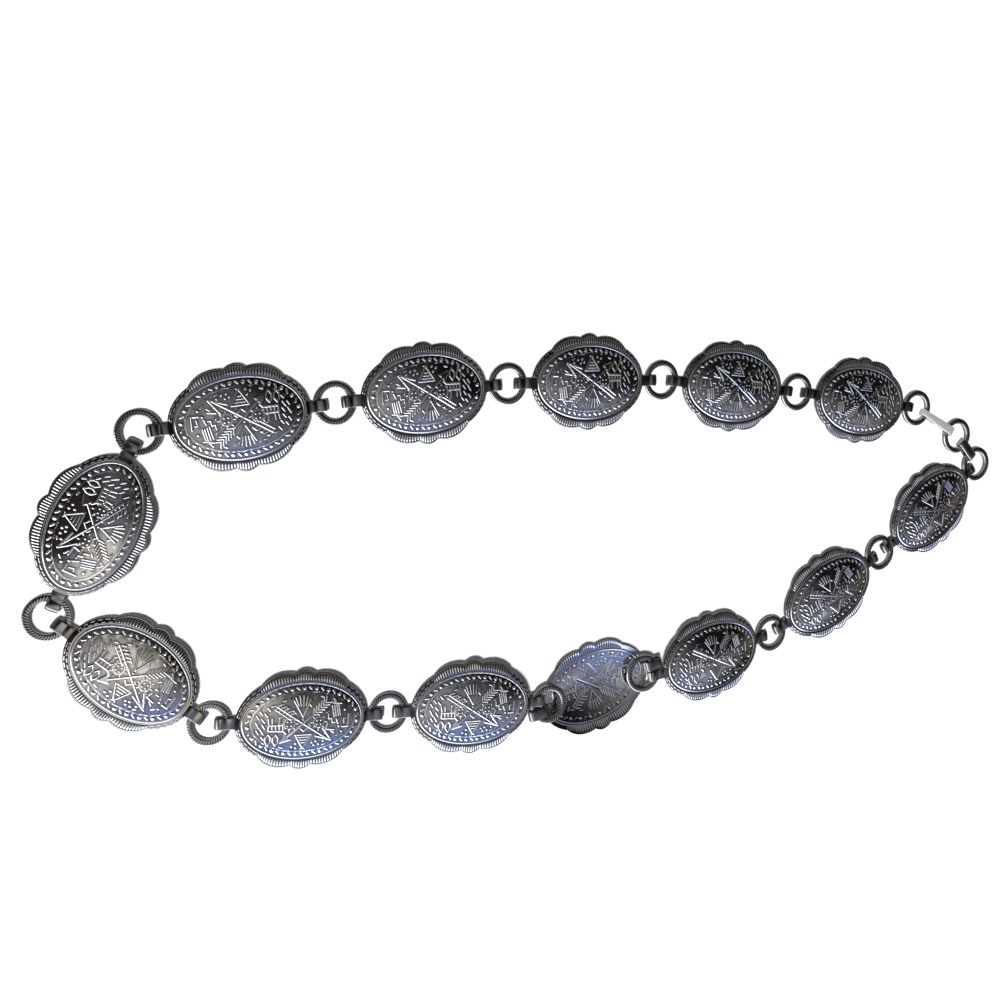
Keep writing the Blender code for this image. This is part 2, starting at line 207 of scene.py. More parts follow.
@dataclass(frozen=True)
class Stroke:
    """A raised line with round ends.

    Attributes:
        start: One end.
        end: The other end.
        cut: How broad and high it is.
    """

    start: tuple[float, float]
    end: tuple[float, float]
    cut: Cut = Cut.PLAIN

    def height(self, points: np.ndarray) -> np.ndarray:
        """Height that the stroke adds at each point.

        Args:
            points: Rows of x and y.

        Returns:
            The height, 0 beside the stroke.
        """
        start = np.array(self.start)
        run = np.array(self.end) - start
        share = np.clip((points - start) @ run / max(float(run @ run), 1e-9), 0.0, 1.0)
        gap = np.linalg.norm(points - start - share[:, None] * run, axis=1)
        return self.cut.rise * hump(gap / self.cut.half_width)

    def contours(self) -> list[Contour]:
        """The stroke's foot, its shoulder and its crest.

        Returns:
            Its contours, from the outside in.
        """
        start, end = np.array(self.start), np.array(self.end)
        steps = max(1, math.ceil(float(np.linalg.norm(end - start)) / STROKE_PITCH))
        crest = np.array([start + (end - start) * k / steps for k in range(steps + 1)])
        return [
            capsule(start, end, self.cut.half_width, 3),
            capsule(start, end, self.cut.half_width / 2, 2),
            Contour(crest, closed=False),
        ]


@dataclass(frozen=True)
class Boss:
    """A raised round bead.

    Attributes:
        centre: Its middle.
        radius: Its radius.
        rise: Height over the field.
    """

    centre: tuple[float, float]
    radius: float = 0.58
    rise: float = 0.32

    def height(self, points: np.ndarray) -> np.ndarray:
        """Height that the bead adds at each point."""
        share = np.linalg.norm(points - np.array(self.centre), axis=1) / self.radius
        return self.rise * hump(share)

    def contours(self) -> list[Contour]:
        """The bead's foot, its shoulder and its top.

        Returns:
            Its contours, from the outside in.
        """
        steps = 8 if self.radius < 0.6 else 12
        radii = [self.radius * share for share in (1.0, 0.7, 0.35)]
        rings = [round_contour(self.centre, (radius, radius), steps) for radius in radii]
        return rings + [Contour(np.array([self.centre]), closed=False)]


@dataclass(frozen=True)
class Hoop:
    """A raised line that runs round an ellipse.

    Attributes:
        centre: Its middle.
        across: Its two semi-axes, at the crest.
        half_width: Distance from the crest to the field.
        rise: Height over the field.
        steps: Points round the contours.
        scallops: Shallow waves round it, 0 for a plain line.
        depth: How far a wave swings outwards.
    """

    centre: tuple[float, float]
    across: tuple[float, float]
    half_width: float = 0.48
    rise: float = 0.28
    steps: int = 24
    scallops: int = 0
    depth: float = 0.0

    def swing(self, away: np.ndarray) -> np.ndarray:
        """How far the crest swings outwards at places beside it, measured from its middle.

        Args:
            away: Places measured from the hoop's middle.

        Returns:
            The swing at each place.
        """
        if not self.scallops:
            return np.zeros(len(away))
        turned = away / np.array(self.across)
        angles, shares = oval_shares(self.across)
        share = np.interp(np.arctan2(turned[:, 1], turned[:, 0]) % (2 * np.pi), angles, shares)
        return self.depth * np.abs(np.cos(np.pi * self.scallops * share))

    def height(self, points: np.ndarray) -> np.ndarray:
        """Height that the hoop adds at each point.

        Args:
            points: Rows of x and y.

        Returns:
            The height, 0 beside the hoop.
        """
        away = points - np.array(self.centre)
        semi = np.array(self.across)
        share = np.maximum(np.linalg.norm(away / semi, axis=1), 1e-6)
        slope = np.linalg.norm(away / semi ** 2, axis=1) / share
        gap = (share - 1.0) / np.maximum(slope, 1e-6) - self.swing(away)
        return self.rise * hump(gap / self.half_width)

    def contours(self) -> list[Contour]:
        """The hoop's two feet and its crest.

        Returns:
            Its contours, from the outside in.
        """
        crest = round_contour((0.0, 0.0), self.across, self.steps).points
        outward = unit_rows(crest / np.array(self.across) ** 2)
        crest = crest + outward * self.swing(crest)[:, None] + np.array(self.centre)
        return [Contour(crest + gap * outward) for gap in (-self.half_width, 0.0, self.half_width)]


@dataclass(frozen=True)
class Facet:
    """A raised flat shape with straight sides and a narrow bevel.

    Attributes:
        corners: Its corners, counter-clockwise.
        bevel: Width of the sloping edge.
        rise: Height over the field.
    """

    corners: tuple[tuple[float, float], ...]
    bevel: float = 0.55
    rise: float = 0.28

    def inset(self, points: np.ndarray) -> np.ndarray:
        """Distance of each point inside the nearest side, negative outside.

        Args:
            points: Rows of x and y.

        Returns:
            The distance of each point.
        """
        gaps = []
        for corner, following in zip(self.corners, self.corners[1:] + self.corners[:1]):
            run = np.array(following) - np.array(corner)
            inward = np.array([-run[1], run[0]]) / np.linalg.norm(run)
            gaps.append((points - np.array(corner)) @ inward)
        return np.min(gaps, axis=0)

    def height(self, points: np.ndarray) -> np.ndarray:
        """Height that the shape adds at each point."""
        return self.rise * ramp(self.inset(points) / self.bevel)

    def contours(self) -> list[Contour]:
        """The shape's foot and the edge of its flat top.

        Returns:
            Its contours, from the outside in.
        """
        corners = np.array(self.corners)
        middle = corners.mean(axis=0)
        depth = float(self.inset(middle[None, :])[0])
        top = middle + (corners - middle) * max(0.1, 1.0 - self.bevel / depth)
        return [Contour(corners), Contour(top)]


Stamp = Stroke | Boss | Hoop | Facet


def polyline(points: list[tuple[float, float]], cut: Cut = Cut.PLAIN) -> list[Stamp]:
    """Strokes that join points one after another."""
    return [Stroke(a, b, cut) for a, b in zip(points, points[1:])]


def shifted(points: list[tuple[float, float]], middle: tuple[float, float]) -> list[tuple[float, float]]:
    """Points moved by a figure's middle."""
    return [(x + middle[0], y + middle[1]) for x, y in points]


@dataclass(frozen=True)
class StampedPattern:
    """The old trade motifs on the panel: crossed arrows, suns, a tent, a bird and a deer.

    The motifs are drawn in the die's own view: u runs along the belt and v across it, towards
    the outside of the loop.

    Attributes:
        line_oval: Semi-axes of the line that frames the motifs.
        line_wave: How far each of its waves swings outwards.
        bead_oval: Semi-axes of the oval that the beads sit on.
        bead_count: Beads round the oval.
        bead_radius: Radius of a bead.
        bead_rise: Its height.
        bar_length: Length of the slanted bar between two beads.
        bar_lean: How far it leans back from the way round, in degrees.
        bead_start: Where the first bead sits, in spaces between two beads.
    """

    line_oval: tuple[float, float] = (22.2, 12.8)
    line_wave: float = 0.22
    bead_oval: tuple[float, float] = (23.75, 14.3)
    bead_count: int = 23
    bead_radius: float = 1.05
    bead_rise: float = 0.58
    bar_length: float = 1.5
    bar_lean: float = 42.0
    bead_start: float = 0.27

    def band(self) -> list[Stamp]:
        """Beads with a slanted bar between each two, and the wavy line that frames the motifs.

        Returns:
            Its stamps, in the die's view.
        """
        count = self.bead_count
        line = Hoop((0.0, 0.0), self.line_oval, steps=6 * count, scallops=count, depth=self.line_wave)
        stamps: list[Stamp] = [line]
        for turn, point, heading in self.round_oval(2 * count):
            if turn % 2:
                lean = heading - math.radians(self.bar_lean)
                half = 0.5 * self.bar_length * np.array([math.cos(lean), math.sin(lean)])
                stamps.append(Stroke(tuple(point - half), tuple(point + half), Cut.BOLD))
            else:
                stamps.append(Boss(tuple(point), self.bead_radius, self.bead_rise))
        return stamps

    def round_oval(self, count: int) -> list[tuple[int, np.ndarray, float]]:
        """Evenly spaced places round the beads' oval.

        Args:
            count: How many places.

        Returns:
            For each its number, its point and the oval's heading there.
        """
        angles, shares = oval_shares(self.bead_oval)
        places = []
        for k in range(count):
            share = (k / count + self.bead_start / self.bead_count) % 1.0
            angle = float(np.interp(share, shares, angles))
            point = np.array([self.bead_oval[0] * math.cos(angle), self.bead_oval[1] * math.sin(angle)])
            heading = math.atan2(self.bead_oval[1] * math.cos(angle), -self.bead_oval[0] * math.sin(angle))
            places.append((k, point, heading))
        return places

    def long_arrow(self) -> list[Stamp]:
        """The arrow that points up and left, with its open head and its feathers.

        Returns:
            Its stamps, in the die's view.
        """
        tail = np.array([11.7, -7.2])
        stamps = polyline([(-10.3, 7.8), tuple(tail)], Cut.BOLD)
        stamps += polyline([(-5.2, 6.3), (-12.3, 8.7), (-8.2, 3.0)], Cut.BOLD)
        along = np.array([22.0, -15.0]) / math.hypot(22.0, 15.0)
        across = np.array([-along[1], along[0]])
        edge = tail + 1.5 * across
        stamps.append(Stroke(tuple(edge - 8.2 * along), tuple(edge), Cut.PLAIN))
        for k in range(5):
            foot = tail - (7.0 - 1.65 * k) * along
            barb = foot - 2.2 * across - 1.1 * along
            stamps.append(Stroke(tuple(foot + 0.5 * across), tuple(foot + 1.0 * across), Cut.FINE))
            stamps.append(Stroke(tuple(foot - 0.7 * across), tuple(barb), Cut.PLAIN))
        return stamps

    def short_arrow(self) -> list[Stamp]:
        """The arrow that points up and right, with its solid head and its row of chevrons.

        Returns:
            Its stamps, in the die's view.
        """
        stamps = polyline([(-3.5, -3.0), (6.9, 5.9)], Cut.BOLD)
        stamps.append(Facet(((10.8, 9.3), (5.0, 7.6), (8.3, 3.9))))
        along = np.array([0.76, 0.65])
        for k in range(6):
            tip = np.array([-3.8, -3.2]) - along * (1.45 * k)
            for lean in (math.radians(138.0), math.radians(-138.0)):
                turned = np.array([
                    along[0] * math.cos(lean) - along[1] * math.sin(lean),
                    along[0] * math.sin(lean) + along[1] * math.cos(lean),
                ])
                stamps.append(Stroke(tuple(tip), tuple(tip + 2.6 * turned), Cut.PLAIN))
        return stamps

    def suns(self) -> list[Stamp]:
        """The two round suns beside the crossing, each with four dots.

        Returns:
            Their stamps, in the die's view.
        """
        stamps: list[Stamp] = []
        for middle in ((-6.3, 0.3), (6.3, 0.3)):
            stamps.append(Hoop(middle, (2.3, 2.3)))
            dots = shifted([(-0.85, -0.85), (0.85, -0.85), (0.85, 0.85), (-0.85, 0.85)], middle)
            stamps += [Boss(dot) for dot in dots]
            rays = [(math.cos(math.pi * k / 4), math.sin(math.pi * k / 4)) for k in range(8)]
            for x, y in rays:
                ends = shifted([(2.85 * x, 2.85 * y), (3.5 * x, 3.5 * y)], middle)
                stamps += polyline(ends, Cut.FINE)
        return stamps

    def tent(self) -> list[Stamp]:
        """The tent at the outside of the loop, with its stripes and the chevron under it.

        Returns:
            Its stamps, in the die's view.
        """
        stamps = polyline([(-3.6, 5.4), (0.0, 11.6), (3.6, 5.4), (-3.6, 5.4)], Cut.PLAIN)
        for level in (6.5, 7.7, 8.9):
            half = 3.6 * (11.6 - level) / 6.2 - 0.9
            stamps += polyline([(-half, level), (half, level)], Cut.FINE)
        stamps += polyline([(-0.9, 11.9), (0.0, 11.2), (0.9, 11.9)], Cut.FINE)
        stamps += polyline([(-1.5, 2.6), (0.0, 3.9), (1.5, 2.6)], Cut.PLAIN)
        return stamps

    def camp_fire(self) -> list[Stamp]:
        """The open V at the inside of the loop, with its short rays and its dot.

        Returns:
            Its stamps, in the die's view.
        """
        stamps = polyline([(-2.6, -9.6), (0.6, -2.4), (4.6, -9.4)], Cut.PLAIN)
        stamps.append(Boss((0.6, -1.3)))
        for slant, reach in ((-1.9, 10.6), (-0.2, 11.2), (1.5, 11.2), (3.2, 10.6)):
            foot = (0.6 + slant * 0.62, -7.2)
            stamps += polyline([foot, (0.6 + slant, -reach)], Cut.FINE)
        return stamps

    def bird(self) -> list[Stamp]:
        """The stepped bird at one end of the panel.

        Returns:
            Its stamps, in the die's view.
        """
        stamps = polyline([(-15.0, 1.6), (-14.2, -0.4)], Cut.BOLD)
        stamps.append(Boss((-15.4, 2.75), 0.75, 0.36))
        stamps += polyline([(-16.9, 3.1), (-19.6, 3.2), (-19.8, -2.0)], Cut.BOLD)
        stamps += polyline([(-17.7, 1.6), (-17.5, -0.35), (-18.5, -0.6)], Cut.PLAIN)
        for top, foot in (
            ((-15.9, -2.1), (-15.1, -6.7)), ((-15.0, -2.0), (-14.2, -6.7)),
            ((-14.0, -1.7), (-13.2, -6.5)), ((-13.1, -1.45), (-12.1, -6.3)),
        ):
            stamps += polyline([top, foot], Cut.PLAIN)
        stamps += polyline([(-16.3, -7.0), (-12.5, -7.5)], Cut.FINE)
        stamps += polyline([(-13.3, 4.1), (-9.6, 3.55), (-10.4, 1.15)], Cut.BOLD)
        steps = [(-13.5, 0.85), (-12.3, 0.9), (-12.1, -1.1), (-10.7, -0.8), (-10.5, -2.8)]
        stamps += polyline(steps, Cut.PLAIN)
        return stamps

    def deer(self) -> list[Stamp]:
        """The deer at the other end, with its barred body, and two pointed leaves over it.

        Returns:
            Their stamps, in the die's view.
        """
        stamps = polyline([(9.7, 0.7), (14.9, 0.7), (15.0, 3.1), (8.7, 3.3), (7.6, 4.6)], Cut.BOLD)
        for u in (8.9, 10.4, 11.9, 13.4):
            stamps += polyline([(u, 3.0), (u + 0.1, 0.9)], Cut.PLAIN)
        for top, foot in ((9.2, 8.7), (10.7, 10.4), (13.4, 13.5), (14.8, 15.2)):
            stamps += polyline([(top, 0.4), (foot, -2.2)], Cut.PLAIN)
        leaf = [(0.0, 2.5), (-1.05, 0.9), (-1.15, -0.8), (0.0, -2.4), (1.15, -0.8), (1.05, 0.9), (0.0, 2.5)]
        for middle in ((11.8, 7.2), (15.0, 6.9)):
            stamps += polyline(shifted(leaf, middle), Cut.PLAIN)
        return stamps

    def small_marks(self) -> list[Stamp]:
        """Dots, small triangles and short strokes that fill the field.

        Returns:
            Their stamps, in the die's view.
        """
        stamps: list[Stamp] = []
        dots = ((-5.6, 8.7), (-6.9, 10.1), (-4.9, 10.4), (-3.9, 9.1), (3.2, 9.2), (4.7, 10.6), (2.9, 11.3))
        for dot in dots + ((-16.8, 5.2), (-17.8, -4.2), (7.2, -6.4), (9.9, -8.1), (-8.9, 8.9)):
            stamps.append(Boss(dot, 0.72, 0.38))
        stamps.append(Facet(((4.9, -11.2), (6.9, -10.5), (5.8, -9.3))))
        stamps.append(Facet(((-5.7, -11.0), (-3.1, -11.0), (-4.4, -8.7))))
        stamps += polyline([(-13.9, -7.9), (-11.6, -7.9), (-12.5, -9.6), (-13.9, -7.9)], Cut.FINE)
        strokes = (
            ((-13.4, 5.6), (-11.9, 4.6)), ((-14.6, 7.0), (-15.6, 6.1)), ((-9.6, 10.2), (-8.6, 10.6)),
            ((8.6, 10.9), (9.9, 10.5)), ((12.6, -7.6), (13.9, -7.2)), ((18.9, 1.9), (20.2, -0.6)),
            ((-10.8, -4.4), (-9.8, -3.6)), ((9.6, -2.9), (10.6, -2.4)), ((17.0, 4.5), (18.3, 2.4)),
            ((8.0, -9.7), (9.2, -9.3)), ((-8.4, -10.2), (-7.2, -10.7)), ((16.9, 6.9), (17.8, 5.7)),
            ((-1.9, 0.9), (-2.8, 1.7)), ((2.9, -1.9), (3.9, -1.1)), ((15.5, -3.0), (16.6, -4.4)),
            ((16.6, 2.0), (17.6, 0.4)), ((16.7, -0.6), (17.8, -2.1)), ((19.0, -2.0), (20.0, -3.6)),
            ((17.6, -3.9), (18.5, -5.2)), ((14.4, -5.4), (15.5, -6.8)), ((19.0, 4.4), (19.9, 2.8)),
            ((-2.9, -6.6), (-2.1, -7.6)), ((3.6, -4.0), (4.8, -5.2)), ((-10.6, 5.9), (-9.3, 5.4)),
        )
        stamps += [Stroke(start, end, Cut.PLAIN) for start, end in strokes]
        return stamps

    def stamps(self) -> list[Stamp]:
        """Everything that the die raises inside the border.

        Returns:
            All the stamps, in the die's view.
        """
        figures = self.long_arrow() + self.short_arrow() + self.suns() + self.tent()
        figures += self.camp_fire() + self.bird() + self.deer() + self.small_marks()
        return self.band() + figures


# Patches of surface and the mesh that they make

@dataclass
class Patch:
    """A piece of surface.

    Attributes:
        points: Rows of x, y and z.
        normals: One row for each point.
        faces: Triangles, as rows of point numbers.
        relief: 1 where the die raises the sheet, painted highlight that is partly rubbed metal, 0 on the
            open field, -1 for painted shade in the recesses.
    """

    points: np.ndarray
    normals: np.ndarray
    faces: np.ndarray
    relief: np.ndarray

    def faced(self) -> "Patch":
        """The same patch with each triangle turned to face along its normals.

        Returns:
            The new patch.
        """
        corners = self.points[self.faces]
        facing = np.cross(corners[:, 1] - corners[:, 0], corners[:, 2] - corners[:, 0])
        wrong = np.einsum("ij,ij->i", facing, self.normals[self.faces].sum(axis=1)) < 0.0
        faces = self.faces.copy()
        faces[wrong] = faces[wrong][:, ::-1]
        return Patch(self.points, self.normals, faces, self.relief)

    def half_turned(self) -> "Patch":
        """The same patch turned half round the Z axis."""
        turn = np.array([-1.0, -1.0, 1.0])
        return Patch(self.points * turn, self.normals * turn, self.faces, self.relief)


def net_faces(rows: int, columns: int, closed: bool = False) -> np.ndarray:
    """Triangles of a net of points.

    Args:
        rows: Rows of points.
        columns: Points in each row.
        closed: Whether each row closes on itself.

    Returns:
        Rows of three point numbers.
    """
    across = columns if closed else columns - 1
    row, column = np.meshgrid(np.arange(rows - 1), np.arange(across), indexing="ij")
    here = (row * columns + column).ravel()
    beside = (row * columns + (column + 1) % columns).ravel()
    upper = np.stack([here, beside, beside + columns], axis=1)
    lower = np.stack([here, beside + columns, here + columns], axis=1)
    return np.concatenate([upper, lower])


def grid_patch(grid: np.ndarray, normals: np.ndarray, relief: float = 0.5) -> Patch:
    """Patch over a net of points.

    Args:
        grid: Points as rows by columns by 3.
        normals: Their normals in the same form.
        relief: One relief value for all of it.

    Returns:
        The patch, with its triangles facing along the normals.
    """
    rows, columns = grid.shape[:2]
    count = rows * columns
    faces = net_faces(rows, columns)
    return Patch(grid.reshape(count, 3), normals.reshape(count, 3), faces, np.full(count, relief)).faced()


def marked_mesh(name: str, points: np.ndarray, faces: list[list[int]],
                relief: np.ndarray) -> bpy.types.Mesh:
    """Make a smooth mesh with the relief that its finish reads as painted highlight and painted shade.

    Args:
        name: The mesh's name.
        points: Rows of x, y and z, in millimetres.
        faces: Point numbers of each face.
        relief: One value for each point.

    Returns:
        The mesh, in metres.
    """
    mesh = bpy.data.meshes.new(name)
    mesh.from_pydata((points * MM).tolist(), [], faces)
    mesh.shade_smooth()
    mark = mesh.attributes.new("relief", "FLOAT", "POINT")
    mark.data.foreach_set("value", relief.astype(np.float32))
    mesh.update()
    return mesh


def welded_mesh(name: str, patches: list[Patch]) -> bpy.types.Mesh:
    """Join patches into one mesh that keeps their normals.

    Args:
        name: The mesh's name.
        patches: Patches whose shared edges have the same points.

    Returns:
        The mesh, in metres.
    """
    points = np.concatenate([patch.points for patch in patches])
    normals = unit_rows(np.concatenate([patch.normals for patch in patches]))
    relief = np.concatenate([patch.relief for patch in patches])
    firsts = np.cumsum([0] + [len(patch.points) for patch in patches[:-1]])
    faces = np.concatenate([patch.faces + first for patch, first in zip(patches, firsts)])
    keys = np.round(points, WELD_DIGITS) + 0.0
    _rows, chosen, joined = np.unique(keys, axis=0, return_index=True, return_inverse=True)
    joined = joined.ravel()
    corners = joined[faces]
    sound = np.all(corners != np.roll(corners, 1, axis=1), axis=1)
    faces, corners = faces[sound], corners[sound]
    mesh = marked_mesh(name, points[chosen], corners.tolist(), relief[chosen])
    mesh.normals_split_custom_set(normals[faces].reshape(-1, 3).tolist())
    return mesh


# The shells

# Columns of the skirt's net over a tab, over each other half of an end lobe, and over a flute
TAB_COLUMNS = 12
END_COLUMNS = 40
FLUTE_COLUMNS = 6

# Rows of the skirt's net, by their distance from the edge or from the border's foot, each with
# the share of the skirt's width that it stays under
EDGE_ROWS = {
    Face.FRONT: (
        (0.0, 0.0), (0.1, 0.06), (0.22, 0.13), (0.4, 0.22), (0.6, 0.31), (0.82, 0.4), (1.1, 0.47),
    ),
    Face.BACK: ((0.0, 0.0), (0.22, 0.13), (1.0, 0.45)),
}
FOOT_ROWS = {
    Face.FRONT: ((0.4, 0.24), (0.25, 0.15), (0.1, 0.06), (0.0, 0.0)),
    Face.BACK: ((0.4, 0.24), (0.0, 0.0)),
}

# Even points that fill the panel's net: their pitch, the share of it between two rows, and
# their least distance from a drawn contour
FILL_PITCH = 1.1
FILL_ROW = 0.866
FILL_GAP = 0.36

# The tab's end, which turns up to the plate's back: distance from the plate's edge, and height
TAB_END = ((-0.05, -1.5), (-0.5, -0.95), (-0.8, -0.2), (-1.1, 0.38), (-1.6, 0.7), (-2.6, 0.93))


@dataclass(frozen=True)
class Lobe:
    """One lobe of the scalloped edge.

    Attributes:
        start: Ellipse angle where it starts, in degrees.
        end: Where it ends.
        swell: How far it stands out of the ellipse.
        flutes: Flutes across it, 0 at the ends, where dashes are struck instead.
    """

    start: float
    end: float
    swell: float
    flutes: int


@dataclass(frozen=True)
class SkirtDie:
    """What the die strikes on the skirt: flutes on the scallops, dashes on the end lobes, a lip.

    Attributes:
        flute_rise: Height of a flute.
        flute_start: Distance from the border's foot over which it rises.
        flute_stop: Distance from the edge at which it ends.
        flute_fall: Distance over which it falls there.
        dash_rise: Height of a dash.
        dash_half: Its half-width.
        dash_count: Dashes in each of an end lobe's two rows.
        dash_length: Half its length, as a share of the row's pitch.
        dash_fade: Length over which its end falls, as the same share.
        outer_row: Distance of the outer row from the edge.
        inner_row: Distance of the inner row from the border's foot.
        lip_rise: Height of the lip along the scallops' edge.
        lip_inset: Distance of its crest from the edge.
        lip_half: Its half-width.
        rounding: Radius of the edge.
    """

    flute_rise: float = 0.3
    flute_start: float = 0.5
    flute_stop: float = 0.75
    flute_fall: float = 0.4
    dash_rise: float = 0.17
    dash_half: float = 0.3
    dash_count: int = 13
    dash_length: float = 0.42
    dash_fade: float = 0.14
    outer_row: float = 0.52
    inner_row: float = 0.42
    lip_rise: float = 0.12
    lip_inset: float = 0.4
    lip_half: float = 0.24
    rounding: float = 0.2

    def struck(self, share: np.ndarray, flutes: np.ndarray, reach: np.ndarray,
               span: np.ndarray) -> np.ndarray:
        """Height of the flutes and dashes.

        Args:
            share: Share of the way across the lobe.
            flutes: Flutes on the lobe.
            reach: Share of the way from the border to the edge.
            span: Width of the skirt.

        Returns:
            The height at each point.
        """
        from_foot, from_edge = reach * span, self.from_edge(reach, span)
        ribs = np.sin(np.pi * flutes * share) ** 2
        ribs = ribs * ramp(from_foot / self.flute_start)
        ribs = ribs * ramp((from_edge - self.flute_stop) / self.flute_fall)
        outer = reach > 0.5
        lane = np.where(outer, from_edge - self.outer_row, from_foot - self.inner_row) / self.dash_half
        beat = (self.dash_count * share + 0.5 * outer) % 1.0
        dashes = hump(lane) * ramp((self.dash_length - np.abs(beat - 0.5)) / self.dash_fade)
        return np.where(flutes > 0, self.flute_rise * ribs, self.dash_rise * dashes)

    def edge(self, flutes: np.ndarray, reach: np.ndarray, span: np.ndarray) -> np.ndarray:
        """Height of the lip on the fluted lobes and of the rounded edge on all of them.

        Args:
            flutes: Flutes on the lobe.
            reach: Share of the way from the border to the edge.
            span: Width of the skirt.

        Returns:
            The height at each point.
        """
        from_edge = self.from_edge(reach, span)
        lip = self.lip_rise * hump((from_edge - self.lip_inset) / self.lip_half) * (flutes > 0)
        return lip - self.rounding * np.clip(1.0 - from_edge / self.rounding, 0.0, 1.0) ** 2

    def from_edge(self, reach: np.ndarray, span: np.ndarray) -> np.ndarray:
        """Distance of each point from the edge, never less than 0."""
        return np.maximum((1.0 - reach) * span, 0.0)


@dataclass(frozen=True)
class WearAndShade:
    """How rubbing and painted light follow the relief, from 1 where it is bright with painted highlight to
    -1 where it is dark with painted shade.

    Attributes:
        bright_rise: Height at which the panel is all bright, partly rubbed and partly painted highlight, as
            a share of a fine line's height.
        recess_reach: How far the painted shade of a recess spreads from a raised figure.
        recess_shade: How dark that painted shade gets, from 0 to 1.
        recess_limit: How fast it gives way where the sheet rises.
        skirt_contrast: How fast the skirt turns from painted shade to painted highlight with height.
        skirt_valley_shade: How dark the painted shade in its valleys is, from 0 to 1.
        skirt_back: Share of the skirt's contrast on the back.
        back_bright: Share of the panel's bright lines, painted highlight, on the back.
        back_shade: Share of the panel's painted shade in the recesses there.
        tab_shade: The tabs' tone, a painted shade that keeps them rather dark.
    """

    bright_rise: float = 0.6
    recess_reach: float = 0.45
    recess_shade: float = 0.5
    recess_limit: float = 2.5
    skirt_contrast: float = 2.2
    skirt_valley_shade: float = 0.9
    skirt_back: float = 0.3
    back_bright: float = 0.6
    back_shade: float = 0.3
    tab_shade: float = -0.55


@dataclass(frozen=True)
class Tab:
    """A tongue of the sheet that is folded round a ring and back under the plate.

    Attributes:
        width: Its width.
        level: Height of its upper leg, and depth of its lower one, at mid-sheet.
        neck: Where its upper leg is level, from the plate's edge.
        heel: How much nearer to the plate its lower leg ends.
        fold_reach: Distance of the fold's centre from the shell's middle.
        dip: How far the upper leg dips between the plate and the ring.
        dip_place: Where the dip is deepest, as a share of the upper leg.
        dip_half: Half the dip's length, as the same share.
        camber: How much its middle stands over its sides.
        camber_start: Steps of its path over which the camber grows.
        camber_end: Steps over which it fades at the end.
        edge_thinning: How much lower each face is along the sides.
        edge_lean: How far the faces look aside there.
    """

    width: float = 4.8
    level: float = 1.65
    neck: float = 0.7
    heel: float = 0.2
    fold_reach: float = 34.4
    dip: float = 0.28
    dip_place: float = 0.52
    dip_half: float = 0.36
    camber: float = 0.14
    camber_start: int = 3
    camber_end: int = 6
    edge_thinning: float = 0.12
    edge_lean: float = 0.9

    def path(self, edge: float) -> np.ndarray:
        """Middle line of the tab at +X, from the plate's edge to the tab's end.

        Args:
            edge: Distance of the plate's edge from the shell's middle.

        Returns:
            Rows of x and z.
        """
        neck = edge + self.neck
        rows = []
        for share in np.linspace(0.0, 1.0, 13):
            dip = self.dip * float(hump(np.array((share - self.dip_place) / self.dip_half)))
            rows.append((neck + (self.fold_reach - neck) * share, self.level - dip))
        turns = np.linspace(math.pi / 2, -math.pi / 2, 17)[1:-1]
        rows += [(self.fold_reach + self.level * math.cos(a), self.level * math.sin(a)) for a in turns]
        rows += [(x, -self.level) for x in np.linspace(self.fold_reach, neck - self.heel, 5)]
        rows += [(edge + x, z) for x, z in TAB_END]
        return np.array(rows)

    def patches(self, roots: dict[Face, np.ndarray], edge: float, sheet: float,
                tone: float) -> list[Patch]:
        """The tab at +X: its two faces, its two sides and its end.

        Args:
            roots: The points where each face leaves the plate.
            edge: Distance of the plate's edge from the shell's middle.
            sheet: Thickness of the sheet.
            tone: Relief value of the two faces, a painted shade.

        Returns:
            The five patches.
        """
        path = self.path(edge)
        run = unit_rows(np.gradient(path, axis=0))
        outward = np.stack([-run[:, 1], run[:, 0]], axis=1)
        columns = TAB_COLUMNS + 1
        across = np.linspace(-self.width / 2, self.width / 2, columns)
        bow = self.camber * (1.0 - (2.0 * across / self.width) ** 2)
        faces = []
        for side in Face:
            half = np.full(columns, side.value * sheet / 2)
            half[[0, -1]] -= self.edge_thinning * side.value
            lean = side.value * self.camber * 8.0 * across / self.width ** 2
            lean[[0, -1]] = (-self.edge_lean, self.edge_lean)
            rows, normals = [roots[side]], [np.tile((0.0, 0.0, side.value), (columns, 1))]
            for step, (point, out) in enumerate(zip(path, outward)):
                left = len(path) - 1 - step
                lift = half + bow * min(1.0, step / self.camber_start, left / self.camber_end)
                rows.append(np.stack([point[0] + lift * out[0], across, point[1] + lift * out[1]], axis=1))
                facing = np.tile((side.value * out[0], 0.0, side.value * out[1]), (columns, 1))
                facing[:, 1] = lean
                normals.append(facing)
            faces.append((np.stack(rows), np.stack(normals)))
        patches = [grid_patch(points, normals, relief=tone) for points, normals in faces]
        for column, way in ((0, -1.0), (TAB_COLUMNS, 1.0)):
            strip = np.stack([points[:, column] for points, _normals in faces])
            patches.append(grid_patch(strip, np.tile((0.0, way, 0.0), strip.shape[:2] + (1,))))
        cap = np.stack([points[-1] for points, _normals in faces])
        patches.append(grid_patch(cap, np.tile((run[-1, 0], 0.0, run[-1, 1]), cap.shape[:2] + (1,))))
        return patches


